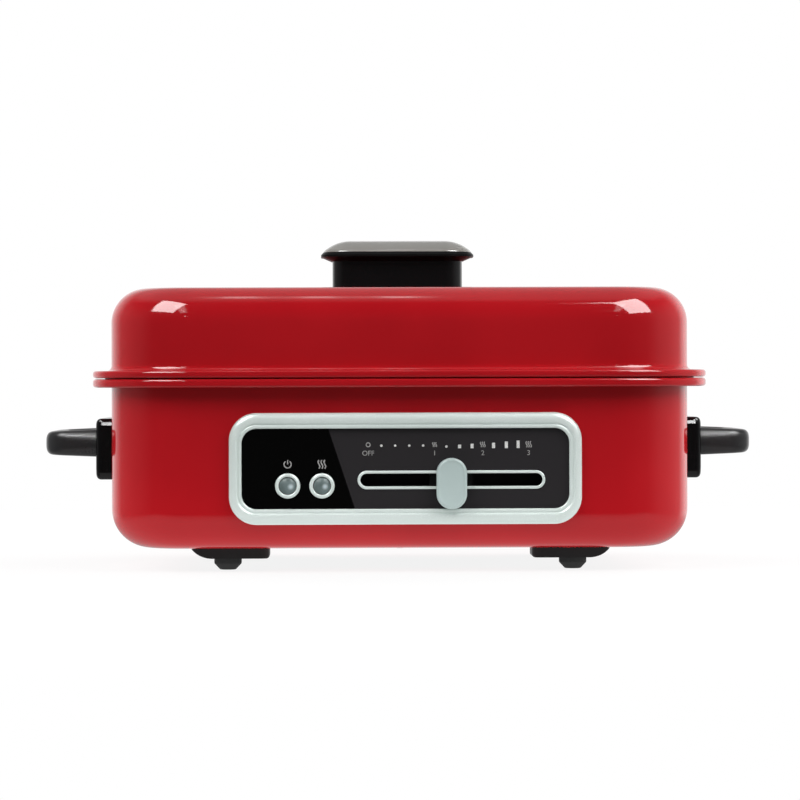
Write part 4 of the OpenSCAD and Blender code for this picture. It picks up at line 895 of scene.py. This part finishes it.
def addGrip(name, side, s):
    middle = s["height"] + s["rise"]
    root = s["wall"] + s["thick"]
    half = s["bar"] / 2
    rings = []
    for out, along, away in gripPath(s):
        squareness = between(s["squareness"], min(1.0, out / (s["reach"] - half)))
        ring = []
        for turn in turnsOf(s["round"]):
            across, up = squared(math.cos(turn), squareness), squared(math.sin(turn), squareness)
            reach = out + away.x * across * half
            share = max(0.0, min(1.0, reach / s["reach"]))
            tall = between((s["rootHeight"], s["tipHeight"]), share)
            y = along + away.y * across * half
            ring.append((side * (root + reach) * mm, y * mm, (middle + up * tall / 2) * mm))
        rings.append(ring)
    addPiece(name + "_moulded", loft(rings), "body", "handle_matt", [name], sharp=50)


for sideName, side in (("left", -1), ("right", 1)):
    addHandleBase("handle_base_" + sideName, side, handle)
    addGrip("handle_grip_" + sideName, side, handle)
print("side handles built")

feet = {
    "rows": {"front": -73, "rear": 73}, "columns": {"left": -98.5, "right": 98.5}, "steps": 48,
    # radius, height
    "turned": [(2.2, 0.5), (2.8, 0.1), (3.3, 0.0), (4.25, 0.0), (4.7, 0.2), (5.4, 0.95), (6.5, 2.1),
               (7.35, 3.0), (7.75, 3.5), (7.85, 4.1), (7.85, 6.7)],
}


def addFeet(s):
    for rowName, y in s["rows"].items():
        for columnName, x in s["columns"].items():
            name = "rubber_foot_" + rowName + "_" + columnName
            bm = loft(turned((x, y, 0), (0, 0, 1), s["turned"], s["steps"]))
            addPiece(name + "_turned", bm, "body", "foot_rubber", [name], sharp=50)


addFeet(feet)

screwHead = {
    "head": 5.6, "shank": 2.9, "steps": 48, "offset": 0.5,
    "tip": 0.58, "tipLength": 1.2,
    "arm": 1.55, "armHalf": 0.36, "recessTaper": 0.8,
    # radius as a share of the head's, height as a share of the head's
    "dome": [(1.0, 0.0), (1.0, 0.42), (0.96, 0.66), (0.86, 0.85), (0.72, 0.96), (0.62, 1.0)],
}
screwSets = {
    "inlet_screws": {"body": "body", "out": (0, 1, 0), "tall": 1.8, "long": 6.5, "recess": 1.1,
                     "places": [(54.8, 113.5, 62), (105.2, 113.5, 62)]},
    "base_screws": {"body": "body", "out": (0, 0, -1), "tall": 0.9, "long": 5, "recess": 0.6,
                    "places": [(x, y, 11.6) for x in (-90, 0, 90) for y in (-53.05, 53.05)]},
    "chassis_screws": {"body": "body", "out": (0, 0, 1), "tall": 1.8, "long": 2.7, "recess": 1.1,
                       "places": [(-6.2, -64, 14.8), (61.8, -64, 14.8)]},
    "lid_handle_screws": {"body": "lid", "out": (0, 0, -1), "tall": 1.8, "long": 11, "recess": 1.1,
                          "places": [(-22.25, 0, 158.5), (22.25, 0, 158.5)]},
}


def crossReach(turn, s):
    # from the middle of a cross-shaped recess to its edge
    c, n = abs(math.cos(turn)) + 1e-6, abs(math.sin(turn)) + 1e-6
    return max(min(s["arm"] / c, s["armHalf"] / n), min(s["arm"] / n, s["armHalf"] / c))


def addScrews(name, s, head):
    out = Vector(s["out"])
    turns = turnsOf(head["steps"], head["offset"])
    shank = head["shank"] / 2
    solid = [(head["tip"], -s["long"]), (shank, head["tipLength"] - s["long"]), (shank, 0.0)]
    solid += [(share * head["head"] / 2, rise * s["tall"]) for share, rise in head["dome"]]
    levels = [([radius] * len(turns), height) for radius, height in solid]
    cross = [crossReach(turn, head) for turn in turns]
    narrowed = [reach * head["recessTaper"] for reach in cross]
    levels += [(cross, s["tall"]), (narrowed, s["tall"] - s["recess"])]
    bm = bmesh.new()
    for place in s["places"]:
        foot = Vector(place)
        skin(bm, [ringRound(foot + out * height, out, turns, reaches) for reaches, height in levels])
    addPiece(name + "_crossed", bm, s["body"], "screw_steel", [name], sharp=40)


for screwName, screwSet in screwSets.items():
    addScrews(screwName, screwSet, screwHead)
print("feet and screws built")

capInlay = {
    "size": (90, 51.5), "radius": 17.75, "top": 189.4, "crown": 22.8, "crownInset": 17.25, "steps": 14,
    # inset from the cap's edge, height over the crown
    "rings": [(1.5, -0.5), (1.5, 0.05), (1.54, 0.2), (1.66, 0.34), (1.9, 0.45), (2.3, 0.5), (3.2, 0.47),
              (5.0, 0.42), (7.0, 0.42), (9.5, 0.42), (12.0, 0.42), (14.5, 0.42), (17.2, 0.42)],
}


def addCapInlay(s):
    width, depth = s["size"]
    rings = []
    for inset, over in s["rings"]:
        back = s["crownInset"] - inset
        z = s["top"] - s["crown"] + math.sqrt(s["crown"] ** 2 - back ** 2) + over
        path = outline(width - 2 * inset, depth - 2 * inset, s["radius"] - inset, s["steps"])
        rings.append([(place.x * mm, place.y * mm, z * mm) for place, away in path])
    addPiece("lid_handle_inlay", loft(rings), "lid", "handle_matt", finish="inlay_grey", sharp=60)


addCapInlay(capInlay)

panelMarks = {
    "rise": 0.06, "steps": 48, "stroke": 0.66,
    # x, z, radius
    "dots": [(-11.4, 71.1, 0.7), (-3.7, 71.1, 0.65), (4.2, 71.1, 0.65), (12.0, 71.1, 0.65),
             (25.0, 70.5, 0.7)],
    # x, width, height
    "bars": [(32.4, 1.7, 2.0), (39.4, 1.7, 2.5), (51.4, 1.7, 3.0), (58.6, 1.75, 3.7), (65.2, 1.7, 4.2)],
    "barFoot": 69.5,
    # x, z, height; gap and swing are shares of the height, and the stroke is a share of it plus a width
    "waves": [(18.4, 71.6, 2.6), (45.4, 71.6, 3.0), (71.1, 71.6, 3.4), (-44.7, 60.8, 4.8)],
    "waveGap": 0.34, "waveSwing": 0.1, "waveStroke": (0.11, 0.2), "waveSteps": 12,
    # x, z, radius, top of the upright stroke over the middle
    "switchMark": (-63.9, 60.8, 2.0, 2.4), "switchArc": (125, 415, 24),
    "offMark": (-18.8, 71.6, 0.836, 1.364),     # x, z, inner and outer radius
    "words": [("OFF", -18.8), ("1", 18.4), ("2", 45.4), ("3", 71.1)],
    "wordFoot": 65.6, "wordSize": 3.9, "weld": 0.002,
}


def ribbon(bm, points, width, rise):
    # flat line of one width along points, a little proud of the panel
    sides = []
    for k, point in enumerate(points):
        ahead = Vector(points[min(k + 1, len(points) - 1)]) - Vector(points[max(k - 1, 0)])
        across = Vector((-ahead.y, ahead.x)).normalized() * width / 2
        sides.append((Vector(point) + across, Vector(point) - across))
    layers = []
    for y in (panelFront - rise, panelFront + rise):
        layers.append([[bm.verts.new((c.x * mm, y * mm, c.y * mm)) for c in pair] for pair in sides])
    front, back = layers
    for k in range(len(points) - 1):
        bm.faces.new((front[k][0], front[k + 1][0], front[k + 1][1], front[k][1]))
        bm.faces.new((back[k][1], back[k + 1][1], back[k + 1][0], back[k][0]))
        for side in (0, 1):
            bm.faces.new((front[k][side], back[k][side], back[k + 1][side], front[k + 1][side]))
    for end in (0, -1):
        bm.faces.new((front[end][0], front[end][1], back[end][1], back[end][0]))


def addScale(s):
    rise = s["rise"]
    bm = bmesh.new()
    for x, z, radius in s["dots"]:
        skin(bm, turned((x, panelFront, z), toFront, [(radius, -rise), (radius, rise)], s["steps"]))
    for x, width, height in s["bars"]:
        ribbon(bm, [(x, s["barFoot"]), (x, s["barFoot"] + height)], width, rise)
    addPiece("panel_scale_print", bm, "body", "panel_plastic", finish="ink")


def addSigns(s):
    rise, steps = s["rise"], s["waveSteps"]
    share, more = s["waveStroke"]
    bm = bmesh.new()
    for x, z, height in s["waves"]:
        for column in (-1, 0, 1):
            middle = x + column * height * s["waveGap"]
            wave = [(middle + math.sin(k / steps * 2 * math.pi) * height * s["waveSwing"],
                     z - height / 2 + height * k / steps) for k in range(steps + 1)]
            ribbon(bm, wave, share * height + more, rise)
    x, z, radius, top = s["switchMark"]
    ribbon(bm, curve(x, z, radius, *s["switchArc"]), s["stroke"], rise)
    ribbon(bm, [(x, z), (x, z + top)], s["stroke"], rise)
    x, z, inner, outer = s["offMark"]
    profile = [(inner, -rise), (inner, rise), (outer, rise), (outer, -rise)]
    skin(bm, turned((x, panelFront, z), toFront, profile, s["steps"]), endless=True)
    addPiece("panel_sign_print", bm, "body", "panel_plastic", finish="dim_ink")


def addWord(word, x, s):
    text = bpy.data.curves.new("panel_word_" + word, "FONT")
    text.body = word
    text.size = s["wordSize"] * mm
    text.align_x = "CENTER"
    text.extrude = s["rise"] * mm
    drawn = bpy.data.objects.new("drawn_" + word, text)
    bpy.context.scene.collection.objects.link(drawn)
    bpy.context.view_layer.update()
    flat = bpy.data.meshes.new_from_object(drawn)
    bpy.data.objects.remove(drawn)
    bpy.data.curves.remove(text)
    bm = bmesh.new()
    bm.from_mesh(flat)
    bpy.data.meshes.remove(flat)
    bmesh.ops.remove_doubles(bm, verts=bm.verts, dist=s["weld"] * mm)
    for vert in bm.verts:
        vert.co = (vert.co.x + x * mm, panelFront * mm - vert.co.z, vert.co.y + s["wordFoot"] * mm)
    addPiece("panel_word_" + word, bm, "body", "panel_plastic", finish="dim_ink")


addScale(panelMarks)
addSigns(panelMarks)
for word, wordX in panelMarks["words"]:
    addWord(word, wordX, panelMarks)
print("panel marked")
